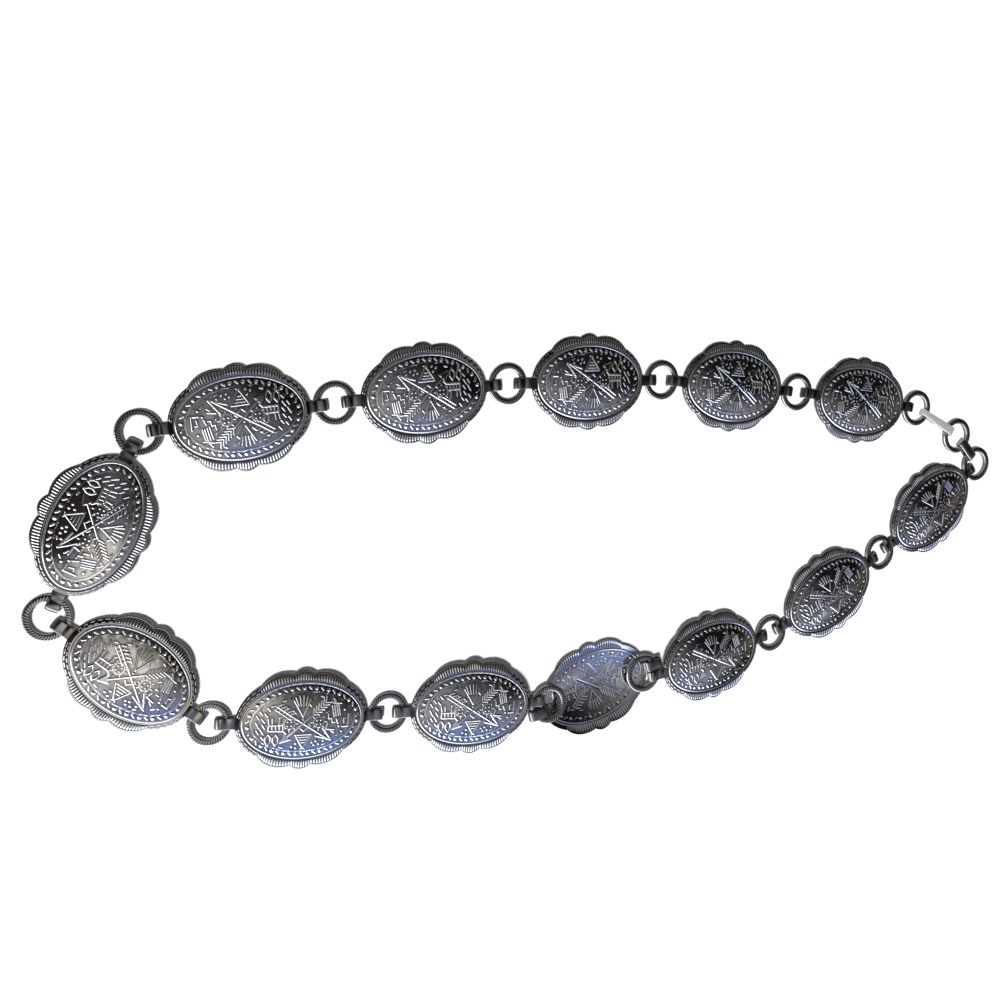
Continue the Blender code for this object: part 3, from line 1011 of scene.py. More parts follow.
@dataclass(frozen=True)
class Shell:
    """A stamped shell: fluted skirt, border line, domed panel and a tab folded at each end.

    Attributes:
        length: The plate's length without its tabs.
        width: The plate's width.
        sheet: Thickness of the sheet.
        end_swell: How far an end lobe stands out of the ellipse.
        side_swell: The same for a side scallop.
        end_notch: Ellipse angle of the notch beside an end lobe, in degrees.
        middle_notch: Ellipse angle of the notch beside the middle scallop.
        side_flutes: Flutes on each outer scallop of a side.
        middle_flutes: Flutes on the middle one.
        roundness: Power that rounds a lobe.
        end_skirt: Width of the skirt at the ends.
        side_skirt: Width of the skirt at the sides.
        rim_level: Height of the plate's face at its edge.
        foot_level: Height of its face at the foot of the skirt.
        dome_rise: Height of the dome over the foot of the skirt.
        dome_inset: Distance of the dome's foot inside the skirt's.
        line_inset: Distance of the border line's crest inside the skirt's foot.
        line_half: Half-width of the border line.
        line_rise: Its height.
        groove_depth: Depth of the groove outside it.
        net_strip: Width of the net's strips inside the skirt's foot and inside the border line.
        imprint: Share of the relief that shows on the back.
        tab_fade: Width over which the skirt's relief fades beside a tab, in half tab widths.
        die: What is struck on the skirt.
        pattern: What is struck on the panel.
        wear_and_shade: Where the metal is painted bright with highlight, partly rubbed, and where it is
            painted dark with shade.
        tab: The tabs' sizes.
    """

    length: float = 57.0
    width: float = 43.4
    sheet: float = 0.8
    end_swell: float = 1.1
    side_swell: float = 1.6
    end_notch: float = 47.0
    middle_notch: float = 81.0
    side_flutes: int = 13
    middle_flutes: int = 8
    roundness: float = 0.8
    end_skirt: float = 1.6
    side_skirt: float = 4.3
    rim_level: float = 1.95
    foot_level: float = 2.8
    dome_rise: float = 2.5
    dome_inset: float = 0.6
    line_inset: float = 1.15
    line_half: float = 0.46
    line_rise: float = 0.3
    groove_depth: float = 0.1
    net_strip: float = 0.3
    imprint: float = 0.45
    tab_fade: float = 0.35
    die: SkirtDie = field(default_factory=SkirtDie)
    pattern: StampedPattern = field(default_factory=StampedPattern)
    wear_and_shade: WearAndShade = field(default_factory=WearAndShade)
    tab: Tab = field(default_factory=Tab)

    def semi(self) -> np.ndarray:
        """Semi-axes of the ellipse that the lobes stand out of."""
        return np.array([self.length / 2 - self.end_swell, self.width / 2 - self.side_swell])

    def foot_semi(self) -> np.ndarray:
        """Semi-axes of the border's outer foot."""
        return np.array([self.length / 2 - self.end_skirt, self.width / 2 - self.side_skirt])

    def lobes(self) -> list[Lobe]:
        """The eight lobes, from the one at +X round to the last.

        Returns:
            The lobes in order.
        """
        end, middle = self.end_notch, self.middle_notch
        scallops = [
            (end, middle, self.side_flutes),
            (middle, 180 - middle, self.middle_flutes),
            (180 - middle, 180 - end, self.side_flutes),
        ]
        lobes = []
        for turn in (0.0, 180.0):
            lobes.append(Lobe(turn - end, turn + end, self.end_swell, 0))
            lobes += [Lobe(turn + a, turn + b, self.side_swell, flutes) for a, b, flutes in scallops]
        return lobes

    def lobe_values(self, angles: np.ndarray) -> tuple[np.ndarray, np.ndarray, np.ndarray]:
        """What the edge is like at some ellipse angles.

        Args:
            angles: Ellipse angles in radians.

        Returns:
            The share of the way across the lobe, its swell and its number of flutes.
        """
        degrees = (np.degrees(angles) + self.end_notch) % 360.0 - self.end_notch
        share, swell, flutes = (np.zeros_like(degrees) for _ in range(3))
        for lobe in self.lobes():
            inside = (degrees >= lobe.start) & (degrees <= lobe.end)
            share[inside] = (degrees[inside] - lobe.start) / (lobe.end - lobe.start)
            swell[inside] = lobe.swell
            flutes[inside] = lobe.flutes
        return share, swell, flutes

    def outline(self, angles: np.ndarray) -> np.ndarray:
        """Points of the scalloped edge at ellipse angles in radians.

        Args:
            angles: Ellipse angles in radians.

        Returns:
            Rows of x and y.
        """
        share, swell, _flutes = self.lobe_values(angles)
        turned = np.stack([np.cos(angles), np.sin(angles)], axis=1)
        outward = unit_rows(turned / self.semi())
        stand = swell * np.abs(np.sin(np.pi * share)) ** self.roundness
        return turned * self.semi() + stand[:, None] * outward

    def foot(self, angles: np.ndarray) -> np.ndarray:
        """Points of the border's outer foot at ellipse angles in radians."""
        return np.stack([np.cos(angles), np.sin(angles)], axis=1) * self.foot_semi()

    def skirt_width(self, angles: np.ndarray) -> np.ndarray:
        """Width of the skirt at ellipse angles in radians."""
        return np.linalg.norm(self.outline(angles) - self.foot(angles), axis=1)

    def tab_angle(self) -> float:
        """Ellipse angle at which the edge is half a tab's width aside, by halving the interval.

        Returns:
            The angle in radians.
        """
        low, high = 0.0, math.radians(20.0)
        for _step in range(50):
            middle = (low + high) / 2
            if self.outline(np.array([middle]))[0, 1] < self.tab.width / 2:
                low = middle
            else:
                high = middle
        return low

    def columns(self) -> np.ndarray:
        """Ellipse angles of the skirt's columns, from the notch before the tab at +X.

        Returns:
            The angles in radians, once round.
        """
        tab, end, middle = self.tab_angle(), math.radians(self.end_notch), math.radians(self.middle_notch)
        side, top = FLUTE_COLUMNS * self.side_flutes, FLUTE_COLUMNS * self.middle_flutes
        spans = [(-end, -tab, END_COLUMNS), (-tab, tab, TAB_COLUMNS), (tab, end, END_COLUMNS)]
        spans += [(end, middle, side), (middle, math.pi - middle, top)]
        spans.append((math.pi - middle, math.pi - end, side))
        half = np.concatenate([np.linspace(a, b, n, endpoint=False) for a, b, n in spans])
        return np.concatenate([half, half + math.pi])

    def skirt_relief(self, angles: np.ndarray, reach: np.ndarray) -> tuple[np.ndarray, np.ndarray]:
        """What the die raises on the skirt.

        Args:
            angles: Ellipse angles in radians.
            reach: Share of the way from the border to the edge.

        Returns:
            Height of the flutes and dashes, and height of the lip and the rounded edge.
        """
        share, _swell, flutes = self.lobe_values(angles)
        span = self.skirt_width(angles)
        off_axis = np.abs((angles + np.pi / 2) % np.pi - np.pi / 2) / self.tab_angle()
        clear = ramp((off_axis - 1.0) / self.tab_fade)
        struck = self.die.struck(share, flutes, reach, span)
        edge = self.die.edge(flutes, reach, span)
        return np.where(flutes > 0, struck, struck * clear), edge * clear

    def skirt_points(self, angles: np.ndarray, reach: np.ndarray,
                     side: Face) -> tuple[np.ndarray, np.ndarray]:
        """Points of the skirt.

        Args:
            angles: Ellipse angles in radians.
            reach: Share of the way from the border to the edge.
            side: Which face of the sheet.

        Returns:
            The points, and the relief from -1 to 1, from painted shade to painted highlight.
        """
        flat = self.foot(angles) * (1.0 - reach[:, None]) + self.outline(angles) * reach[:, None]
        struck, edge = self.skirt_relief(angles, reach)
        level = self.foot_level + (self.rim_level - self.foot_level) * reach
        if side is Face.FRONT:
            level = level + struck + edge
        else:
            level = level - self.sheet + self.imprint * struck
        # Painted shade in the valleys between flutes and dashes, and painted highlight, partly rubbed metal,
        # on their crests and the lip.
        highest = np.where(self.lobe_values(angles)[2] > 0, self.die.flute_rise, self.die.dash_rise)
        raised = np.maximum(struck / highest, np.maximum(edge, 0.0) / self.die.lip_rise)
        marks = np.clip(self.wear_and_shade.skirt_contrast * raised - self.wear_and_shade.skirt_valley_shade, -1.0, 1.0)
        marks = marks * (1.0 if side is Face.FRONT else self.wear_and_shade.skirt_back)
        return np.concatenate([flat, level[:, None]], axis=1), marks

    def skirt(self, side: Face) -> Patch:
        """One face of the skirt, from the border's foot to the edge.

        Args:
            side: Which face of the sheet.

        Returns:
            Its patch.
        """
        angles = self.columns()
        span = self.skirt_width(angles)
        rows = [1.0 - np.minimum(gap, share * span) / span for gap, share in EDGE_ROWS[side]]
        close = [np.minimum(gap, share * span) / span for gap, share in FOOT_ROWS[side]]
        rows += [rows[-1] + (close[0] - rows[-1]) * k / 3 for k in (1, 2)] + close
        reach = np.stack(rows).ravel()
        turned = np.tile(angles, len(rows))
        points, marks = self.skirt_points(turned, reach, side)
        ahead = self.skirt_points(turned + SKIRT_STEP, reach, side)[0]
        behind = self.skirt_points(turned - SKIRT_STEP, reach, side)[0]
        outer = self.skirt_points(turned, reach + SKIRT_STEP, side)[0]
        nearer = self.skirt_points(turned, reach - SKIRT_STEP, side)[0]
        normals = unit_rows(np.cross(outer - nearer, ahead - behind)) * side.value
        return Patch(points, normals, net_faces(len(rows), len(angles), closed=True), marks).faced()

    def rim(self) -> list[Patch]:
        """The sheet's cut edge between the two tabs, on both sides.

        Returns:
            A patch for each side.
        """
        angles = self.columns()
        half = len(angles) // 2
        patches = []
        for start in (END_COLUMNS + TAB_COLUMNS, END_COLUMNS + TAB_COLUMNS + half):
            turned = angles[np.arange(start, start + half - TAB_COLUMNS + 1) % len(angles)]
            ones = np.ones_like(turned)
            top = self.skirt_points(turned, ones, Face.FRONT)[0]
            bottom = self.skirt_points(turned, ones, Face.BACK)[0]
            run = np.gradient(top, axis=0)
            outward = unit_rows(np.stack([run[:, 1], -run[:, 0], np.zeros_like(ones)], axis=1))
            patches.append(grid_patch(np.stack([top, bottom]), np.stack([outward, outward])))
        return patches

    def border(self, points: np.ndarray) -> np.ndarray:
        """Height of the border line and of the groove outside it at points of the panel.

        Args:
            points: Rows of x and y.

        Returns:
            The height, below 0 in the groove.
        """
        semi = self.foot_semi()
        share = np.maximum(np.linalg.norm(points / semi, axis=1), 1e-6)
        slope = np.linalg.norm(points / semi ** 2, axis=1) / share
        inside = (1.0 - share) / np.maximum(slope, 1e-6)
        line = self.line_rise * hump((inside - self.line_inset) / self.line_half)
        groove = self.groove_depth * hump((inside - self.line_inset / 2) / (self.line_inset / 2))
        return line - groove

    def panel_height(self, points: np.ndarray, stamps: list[Stamp],
                     side: Face) -> tuple[np.ndarray, np.ndarray]:
        """Height of the sheet inside the border's foot.

        Args:
            points: Rows of x and y.
            stamps: The motifs, in the die's view.
            side: Which face of the sheet.

        Returns:
            The height, and how bright it is painted, partly rubbed metal and partly painted highlight, from
            0 to 1.
        """
        share = np.linalg.norm(points / (self.foot_semi() - self.dome_inset), axis=1)
        dome = self.foot_level + self.dome_rise * np.clip(1.0 - share ** 2, 0.0, 1.0)
        figures = np.zeros(len(points))
        for stamp in stamps:
            figures = np.maximum(figures, stamp.height(-points))
        struck = self.border(points) + figures
        # Raised places get painted highlight, partly standing for rubbed metal.
        marks = np.clip(struck / (self.wear_and_shade.bright_rise * Cut.FINE.rise), 0.0, 1.0)
        if side is Face.FRONT:
            return dome + struck, marks
        return dome - self.sheet + self.imprint * struck, marks

    def recesses(self, points: np.ndarray, stamps: list[Stamp]) -> np.ndarray:
        """Painted shade beside something raised: how deep each point lies in that corner, from 0 to 1.

        Args:
            points: Rows of x and y.
            stamps: The motifs, in the die's view.

        Returns:
            The depth of painted shade at each point.
        """
        here = self.panel_height(points, stamps, Face.FRONT)[1]
        beside = np.zeros(len(points))
        for turn in range(6):
            way = np.array([math.cos(math.pi * turn / 3), math.sin(math.pi * turn / 3)])
            away = points + self.wear_and_shade.recess_reach * way
            beside = np.maximum(beside, self.panel_height(away, stamps, Face.FRONT)[1])
        return self.wear_and_shade.recess_shade * np.clip(beside - self.wear_and_shade.recess_limit * here, 0.0, 1.0)

    def panel_contours(self, stamps: list[Stamp]) -> list[Contour]:
        """Everything that the panel's net follows: the skirt's foot, the border line, the motifs.

        Args:
            stamps: The motifs, in the die's view.

        Returns:
            The contours on the panel.
        """
        foot = self.foot(self.columns())
        outward = unit_rows(foot / self.foot_semi() ** 2)
        contours = [Contour(foot), Contour((foot - outward * self.net_strip)[::2])]
        for share in (-1.0, -0.5, 0.0, 0.5, 1.0):
            gap = self.line_inset + share * self.line_half
            contours.append(Contour((foot - outward * gap)[::4]))
        for stamp in stamps:
            contours += [Contour(-contour.points, contour.closed) for contour in stamp.contours()]
        return contours

    def panel_net(self, stamps: list[Stamp]) -> tuple[np.ndarray, np.ndarray]:
        """Triangles over the panel that follow every contour of the relief.

        Args:
            stamps: The motifs, in the die's view.

        Returns:
            The points, as rows of x and y, and the triangles.
        """
        contours = self.panel_contours(stamps)
        edges = []
        count = 0
        for contour in contours:
            size = len(contour.points)
            edges += [(count + k, count + k + 1) for k in range(size - 1)]
            if contour.closed:
                edges.append((count + size - 1, count))
            count += size
        drawn = np.concatenate([contour.points for contour in contours])
        points = np.concatenate([drawn, self.filling(drawn)])
        plane = [Vector(point) for point in points.tolist()]
        found, _edges, faces, origins = delaunay_2d_cdt(plane, edges, [], 0, 1e-4, True)[:4]
        places = np.array([tuple(point) for point in found])
        for k, origin in enumerate(origins):
            if origin:
                places[k] = points[min(origin)]
        return places, np.array(faces)

    def filling(self, drawn: np.ndarray) -> np.ndarray:
        """Even points over the field, away from the drawn contours.

        Args:
            drawn: Points of the contours, as rows of x and y.

        Returns:
            Rows of x and y.
        """
        wide, high = (math.ceil(size / 2 / FILL_PITCH / FILL_ROW) for size in (self.length, self.width))
        rows = []
        for row in range(-high, high + 1):
            shift = FILL_PITCH / 2 if row % 2 else 0.0
            rows += [(shift + FILL_PITCH * k, row * FILL_PITCH * FILL_ROW) for k in range(-wide, wide + 1)]
        points = np.array(rows)
        reach = self.foot_semi() - self.line_inset - self.line_half - self.net_strip
        inside = np.linalg.norm(points / reach, axis=1) < 1.0
        points = points[inside]
        gaps = np.min(np.linalg.norm(points[:, None, :] - drawn[None, :, :], axis=2), axis=1)
        return points[gaps > FILL_GAP]

    def panel(self) -> list[Patch]:
        """Both faces of the panel inside the border's foot.

        Returns:
            A patch for the front and one for the back.
        """
        stamps = self.pattern.stamps()
        points, faces = self.panel_net(stamps)
        recesses = self.recesses(points, stamps)
        patches = []
        for side in Face:
            level, marks = self.panel_height(points, stamps, side)
            slopes = []
            for step in (np.array([PANEL_STEP, 0.0]), np.array([0.0, PANEL_STEP])):
                ahead = self.panel_height(points + step, stamps, side)[0]
                behind = self.panel_height(points - step, stamps, side)[0]
                slopes.append((ahead - behind) / (2 * PANEL_STEP))
            normals = np.stack([-slopes[0], -slopes[1], np.ones_like(level)], axis=1) * side.value
            solid = np.concatenate([points, level[:, None]], axis=1)
            # The front takes painted highlight on raised places less painted shade in the recesses; the back
            # takes a share of each.
            if side is Face.FRONT:
                patches.append(Patch(solid, normals, faces, marks - recesses))
            else:
                tone = self.wear_and_shade.back_bright * marks - self.wear_and_shade.back_shade * recesses
                patches.append(Patch(solid, normals, faces[:, ::-1], tone))
        return patches

    def folded_tab(self) -> list[Patch]:
        """The tab at +X, joined to the plate's edge.

        Returns:
            Its patches.
        """
        root = self.columns()[END_COLUMNS:END_COLUMNS + TAB_COLUMNS + 1]
        roots = {side: self.skirt_points(root, np.ones_like(root), side)[0] for side in Face}
        # The tabs get a painted shade, which keeps them dark.
        return self.tab.patches(roots, self.length / 2, self.sheet, self.wear_and_shade.tab_shade)

    def mesh(self) -> bpy.types.Mesh:
        """The whole shell as one closed mesh.

        Returns:
            The mesh, in the shell's own frame.
        """
        tab = self.folded_tab()
        patches = [self.skirt(Face.FRONT), self.skirt(Face.BACK)] + self.rim() + self.panel()
        return welded_mesh("stamped_shell", patches + tab + [patch.half_turned() for patch in tab])


# The rings

@dataclass(frozen=True)
class RopeRing:
    """A flat ring whose face is cut like rope.

    Attributes:
        diameter: Across the outside.
        band: Width of the band.
        thickness: Its thickness.
        bulge: Power of the section's outline, 2 for an ellipse and more for a squarer one.
        sides: Points round the section.
        cuts: Slanted cuts round the ring.
        cut_columns: Columns of the net for each cut.
        depth: Depth of a cut.
        cut_half: Half-width of a cut, as a share of the pitch.
        slant: How far a cut runs round on its way across the band, in radians of the cuts' beat.
        cut_reach: Where a cut ends, as a share of the way from the band's middle to its side.
        cut_fade: Share over which it fades there.
        crest_tone: Relief value between two cuts.
        cut_shade: How much lower it is in a cut, a painted shade.
    """

    diameter: float = 18.4
    band: float = 2.8
    thickness: float = 1.8
    bulge: float = 2.8
    sides: int = 20
    cuts: int = 44
    cut_columns: int = 5
    depth: float = 0.12
    cut_half: float = 0.45
    slant: float = 3.4
    cut_reach: float = 0.9
    cut_fade: float = 0.3
    crest_tone: float = 0.6
    cut_shade: float = 1.2

    def middle_radius(self) -> float:
        """Radius of the band's middle line."""
        return (self.diameter - self.band) / 2

    def mesh(self) -> bpy.types.Mesh:
        """The ring round the Z axis.

        Returns:
            The mesh, with its middle at 0.
        """
        around = self.cuts * self.cut_columns
        turn = np.linspace(0.0, 2 * np.pi, around, endpoint=False)[:, None]
        angle = np.linspace(0.0, 2 * np.pi, self.sides, endpoint=False)[None, :]
        power = 2.0 / self.bulge
        out = np.sign(np.cos(angle)) * np.abs(np.cos(angle)) ** power
        rise = np.sign(np.sin(angle)) * np.abs(np.sin(angle)) ** power
        phase = self.cuts * turn + self.slant * out * np.sign(rise + 1e-9)
        groove = hump((((phase / (2 * np.pi)) % 1.0) - 0.5) / self.cut_half)
        cut = self.depth * groove * ramp((self.cut_reach - np.abs(out)) / self.cut_fade)
        radius = self.middle_radius() + (self.band / 2 - 0.5 * cut) * out
        level = (self.thickness / 2 - cut) * rise
        points = np.stack([radius * np.cos(turn), radius * np.sin(turn), level], axis=2).reshape(-1, 3)
        outward = np.stack([out * np.cos(turn), out * np.sin(turn), rise * np.ones_like(turn)], axis=2)
        faces = net_faces(around + 1, self.sides, closed=True) % len(points)
        # Painted shade darkens the cuts.
        tone = (self.crest_tone - self.cut_shade * cut / self.depth).ravel()
        patch = Patch(points, outward.reshape(-1, 3), faces, tone).faced()
        return marked_mesh("rope_ring", patch.points, patch.faces.tolist(), patch.relief)


# The clasp strips

@dataclass(frozen=True)
class BentStrip:
    """A flat strip bent round the rings at both its ends.

    Attributes:
        name: The mesh's name.
        span: Distance between the two bands that it holds.
        near_width: Width at its near end.
        far_width: Width at its far end.
        near_leg: Length of the leg under the near end, from the near band.
        far_leg: Length of the leg under the far end, back from the far fold's centre.
        thickness: Thickness of the strip.
        level: Height of the upper leg at mid-strip.
        reach: Distance of a fold's centre past its band.
        camber: How much higher the middle of the strip is than its edges.
        rounding: Radius of its long edges.
        sharp_angle: Angle in degrees from which an edge stays sharp.
        tone: Its relief value.
    """

    name: str
    span: float
    near_width: float
    far_width: float
    near_leg: float
    far_leg: float
    thickness: float = 0.8
    level: float = 1.65
    reach: float = 1.544
    camber: float = 0.12
    rounding: float = 0.32
    sharp_angle: float = 50.0
    tone: float = 0.5

    def path(self) -> np.ndarray:
        """Middle line of the strip as rows of x and z, from the far leg's end to the near one's.

        Returns:
            The points of the line.
        """
        turns = np.linspace(-math.pi / 2, math.pi / 2, 19)
        far, near = self.span + self.reach, -self.reach
        rows = [(x, -self.level) for x in np.linspace(far - self.far_leg, far, 4)[:-1]]
        rows += [(far + self.level * math.cos(a), self.level * math.sin(a)) for a in turns]
        rows += [(x, self.level) for x in np.linspace(far, near, 10)[1:-1]]
        rows += [(near - self.level * math.cos(a), -self.level * math.sin(a)) for a in turns]
        rows += [(x, -self.level) for x in np.linspace(near, self.near_leg, 6)[1:]]
        return np.array(rows)

    def section(self, width: float) -> np.ndarray:
        """Rounded section as rows of y and height over the middle line.

        Args:
            width: Width of the strip there.

        Returns:
            The points once round.
        """
        half, high, radius = width / 2, self.thickness / 2, self.rounding
        turns = np.linspace(0.0, math.pi / 2, 4)
        side, shoulder = half - radius, high - radius
        corner = [(side + radius * math.cos(a), shoulder + radius * math.sin(a)) for a in turns]
        top = [(y, high) for y in np.linspace(side, -side, 5)[1:-1]]
        upper = corner + top + [(-y, z) for y, z in reversed(corner)]
        ring = np.array(upper + [(-y, -z) for y, z in upper])
        ring[:, 1] += self.camber * (1.0 - (ring[:, 0] / half) ** 2)
        return ring

    def mesh(self) -> bpy.types.Mesh:
        """The strip in its own frame: +X from the near band to the far one.

        Returns:
            The mesh, with the near band's middle line at x = 0.
        """
        path = self.path()
        run = unit_rows(np.gradient(path, axis=0))
        outward = np.stack([run[:, 1], -run[:, 0]], axis=1)
        rows = []
        for point, out in zip(path, outward):
            share = np.clip(point[0] / self.span, 0.0, 1.0)
            ring = self.section(self.near_width + (self.far_width - self.near_width) * share)
            across, lift = ring[:, 0], ring[:, 1]
            rows.append(np.stack([point[0] + lift * out[0], across, point[1] + lift * out[1]], axis=1))
        grid = np.stack(rows)
        count, around = grid.shape[:2]
        middle = np.concatenate([path[:, :1], np.zeros((count, 1)), path[:, 1:]], axis=1)
        normals = (grid - middle[:, None, :]).reshape(-1, 3)
        sides = net_faces(count, around, closed=True)
        body = Patch(grid.reshape(-1, 3), normals, sides, np.full(count * around, self.tone)).faced()
        first = list(range(around))
        last = [(count - 1) * around + k for k in range(around)]
        ends = [
            first if self.winding(grid[0], -run[0]) else first[::-1],
            last if self.winding(grid[-1], run[-1]) else last[::-1],
        ]
        mesh = marked_mesh(self.name, body.points, body.faces.tolist() + ends, body.relief)
        mesh.set_sharp_from_angle(angle=math.radians(self.sharp_angle))
        return mesh

    def winding(self, ring: np.ndarray, facing: np.ndarray) -> bool:
        """Whether a loop of points runs counter-clockwise round the way that its end faces."""
        area = np.cross(ring, np.roll(ring, -1, axis=0)).sum(axis=0)
        return float(area[0] * facing[0] + area[2] * facing[1]) > 0.0


@dataclass(frozen=True)
class Clasp:
    """The hook and the connector.

    Attributes:
        hook_root: Width of the hook where it is folded round its own ring.
        hook_tip: Its width at the curl that catches the other end's ring.
        hook_return: Length of its folded end under it.
        hook_curl: Length of the curl's end, back from the curl's centre.
        connector_width: Width of the connector.
        seam: Gap between the connector's two ends, which meet under it.
    """

    hook_root: float = 3.1
    hook_tip: float = 4.6
    hook_return: float = 8.5
    hook_curl: float = 2.4
    connector_width: float = 4.9
    seam: float = 0.3

    def hook(self, span: float) -> BentStrip:
        """The hook between two bands at a given distance."""
        return BentStrip("hook_strip", span, self.hook_root, self.hook_tip, self.hook_return, self.hook_curl)

    def connector(self, span: float) -> BentStrip:
        """The connector between two bands at a given distance.

        Args:
            span: The distance.

        Returns:
            The strip.
        """
        near = span / 2 - self.seam / 2
        far = span / 2 + BentStrip.reach - self.seam / 2
        return BentStrip("connector_strip", span, self.connector_width, self.connector_width, near, far)


# Finishes

class Graph:
    """A short way to write a shader's nodes."""

    def __init__(self, tree: bpy.types.NodeTree) -> None:
        """Start from an empty tree."""
        self.tree = tree
        tree.nodes.clear()

    def add(self, kind: str, inputs: dict | None = None, **settings: object) -> bpy.types.Node:
        """Add a node.

        Args:
            kind: The node's type.
            inputs: Sockets by name or number, each with a value or with a socket to link from.
            settings: Properties of the node.

        Returns:
            The node.
        """
        node = self.tree.nodes.new(kind)
        for name, value in settings.items():
            setattr(node, name, value)
        for name, value in (inputs or {}).items():
            if isinstance(value, bpy.types.NodeSocket):
                self.tree.links.new(value, node.inputs[name])
            else:
                node.inputs[name].default_value = value
        return node

    def math(self, operation: str, first: object, second: object = 0.0) -> bpy.types.NodeSocket:
        """Work out one value from two."""
        return self.add("ShaderNodeMath", {0: first, 1: second}, operation=operation).outputs[0]

    def weigh(self, first: object, by: float, second: object, other: float) -> bpy.types.NodeSocket:
        """Add two values, each taken a number of times."""
        return self.math("ADD", self.math("MULTIPLY", first, by), self.math("MULTIPLY", second, other))

    def spread(self, value: object, span: tuple[float, float],
               target: tuple[float, float] = (0.0, 1.0)) -> bpy.types.NodeSocket:
        """Turn a range of values smoothly into another.

        Args:
            value: The value.
            span: Where the range starts and ends, in either order.
            target: What the two are turned into.

        Returns:
            The new value.
        """
        inputs = {"Value": value, "From Min": span[0], "From Max": span[1]}
        inputs |= {"To Min": target[0], "To Max": target[1]}
        return self.add("ShaderNodeMapRange", inputs, interpolation_type="SMOOTHSTEP").outputs[0]

    def blend(self, share: object, first: object, second: object) -> bpy.types.NodeSocket:
        """Mix two colours, each a socket or three numbers.

        Args:
            share: Share of the second colour.
            first: Colour where it is 0.
            second: Colour where it is 1.

        Returns:
            The mixed colour.
        """
        colours = [paint + (1.0,) if isinstance(paint, tuple) else paint for paint in (first, second)]
        inputs = {0: share, 6: colours[0], 7: colours[1]}
        return self.add("ShaderNodeMix", inputs, data_type="RGBA").outputs[2]


# Marks, from relief and clouds together, between which the painted shade gives way to the field's colour,
# and between which that gives way to the bright metal's, partly rubbed and partly painted highlight
PAINTED_SHADE_MARKS = (-1.0, 0.05)
WEAR_AND_HIGHLIGHT_MARKS = (0.1, 0.85)

# Middle part of the clouds, which the roughness follows
CLOUD_SPAN = (0.3, 0.7)


@dataclass(frozen=True)
class MetalFinish:
    """Bright rubbed white metal, with painted highlight on its raised places and painted shade in its
    recesses.

    Attributes:
        name: The material's name.
        bright: Colour of the raised places, partly rubbed metal and partly painted highlight.
        dull: Colour of the field between them.
        painted_shade: Colour of the painted shade in the recesses.
        gloss: Lowest and highest roughness.
        grain: Strength of the fine bump.
        metal: How metallic it looks, less than 1 where it is dulled.
        clouds: Size of the stains, in waves a metre.
        stain: How far they shift the tone between painted shade and painted highlight.
        shuffle: How differently they lie on each piece.
        dents: The same for the shallow dents.
        scratches: The same for the fine scratches.
    """

    name: str
    bright: tuple[float, float, float]
    dull: tuple[float, float, float]
    painted_shade: tuple[float, float, float]
    gloss: tuple[float, float]
    grain: float
    metal: float = 1.0
    clouds: float = 95.0
    stain: float = 0.5
    shuffle: float = 7.0
    dents: float = 260.0
    scratches: float = 1400.0

    def material(self) -> bpy.types.Material:
        """Make the material.

        Returns:
            The material.
        """
        material = bpy.data.materials.new(self.name)
        material.use_nodes = True
        graph = Graph(material.node_tree)
        place = graph.add("ShaderNodeTexCoord").outputs["Object"]
        clouds = self.noise_clouds(graph, place)
        relief = graph.add("ShaderNodeAttribute", attribute_name="relief").outputs["Fac"]
        stains = graph.math("MULTIPLY", graph.math("SUBTRACT", clouds, 0.5), self.stain)
        # Painted shade darkens the field in recesses and valleys; painted highlight, partly rubbed metal,
        # brightens the raised places.
        wear_shade_and_stains = graph.math("ADD", relief, stains)
        field_colour = graph.blend(graph.spread(wear_shade_and_stains, PAINTED_SHADE_MARKS), self.painted_shade, self.dull)
        colour = graph.blend(graph.spread(wear_shade_and_stains, WEAR_AND_HIGHLIGHT_MARKS), field_colour, self.bright)
        shader = graph.add(
            "ShaderNodeBsdfPrincipled",
            {
                "Base Color": colour, "Metallic": self.metal,
                "Roughness": graph.spread(clouds, CLOUD_SPAN, self.gloss), "Normal": self.bump(graph, place),
            },
        )
        graph.add("ShaderNodeOutputMaterial", {"Surface": shader.outputs[0]})
        return material

    def noise_clouds(self, graph: Graph, place: bpy.types.NodeSocket) -> bpy.types.NodeSocket:
        """Soft stains, which lie differently on each piece.

        Args:
            graph: The material's nodes.
            place: Place on the piece.

        Returns:
            Their strength.
        """
        chance = graph.add("ShaderNodeObjectInfo").outputs["Random"]
        inputs = {
            "Vector": place, "W": graph.math("MULTIPLY", chance, self.shuffle),
            "Scale": self.clouds, "Detail": 4.0, "Roughness": 0.6,
        }
        return graph.add("ShaderNodeTexNoise", inputs, noise_dimensions="4D").outputs[0]

    def bump(self, graph: Graph, place: bpy.types.NodeSocket) -> bpy.types.NodeSocket:
        """Fine scratches over shallow dents.

        Args:
            graph: The material's nodes.
            place: Place on the piece.

        Returns:
            The bumped normal.
        """
        inputs = {"Vector": place, "Scale": self.scratches, "Detail": 3.0, "Roughness": 0.6}
        scratches = graph.add("ShaderNodeTexNoise", inputs).outputs[0]
        inputs = {"Vector": place, "Scale": self.dents, "Detail": 1.0}
        waves = graph.add("ShaderNodeTexNoise", inputs).outputs[0]
        height = graph.math("ADD", graph.math("MULTIPLY", scratches, 0.25), waves)
        inputs = {"Strength": self.grain, "Distance": 0.1 * MM, "Height": height}
        return graph.add("ShaderNodeBump", inputs).outputs[0]


# In each finish the bright colour is partly a painted highlight and the darkest is a painted shade.
WORN_SILVER = MetalFinish(
    "worn_silver",
    bright=(0.97, 0.97, 0.98), dull=(0.6, 0.6, 0.62), painted_shade=(0.11, 0.105, 0.1),
    gloss=(0.08, 0.2), grain=0.25,
)
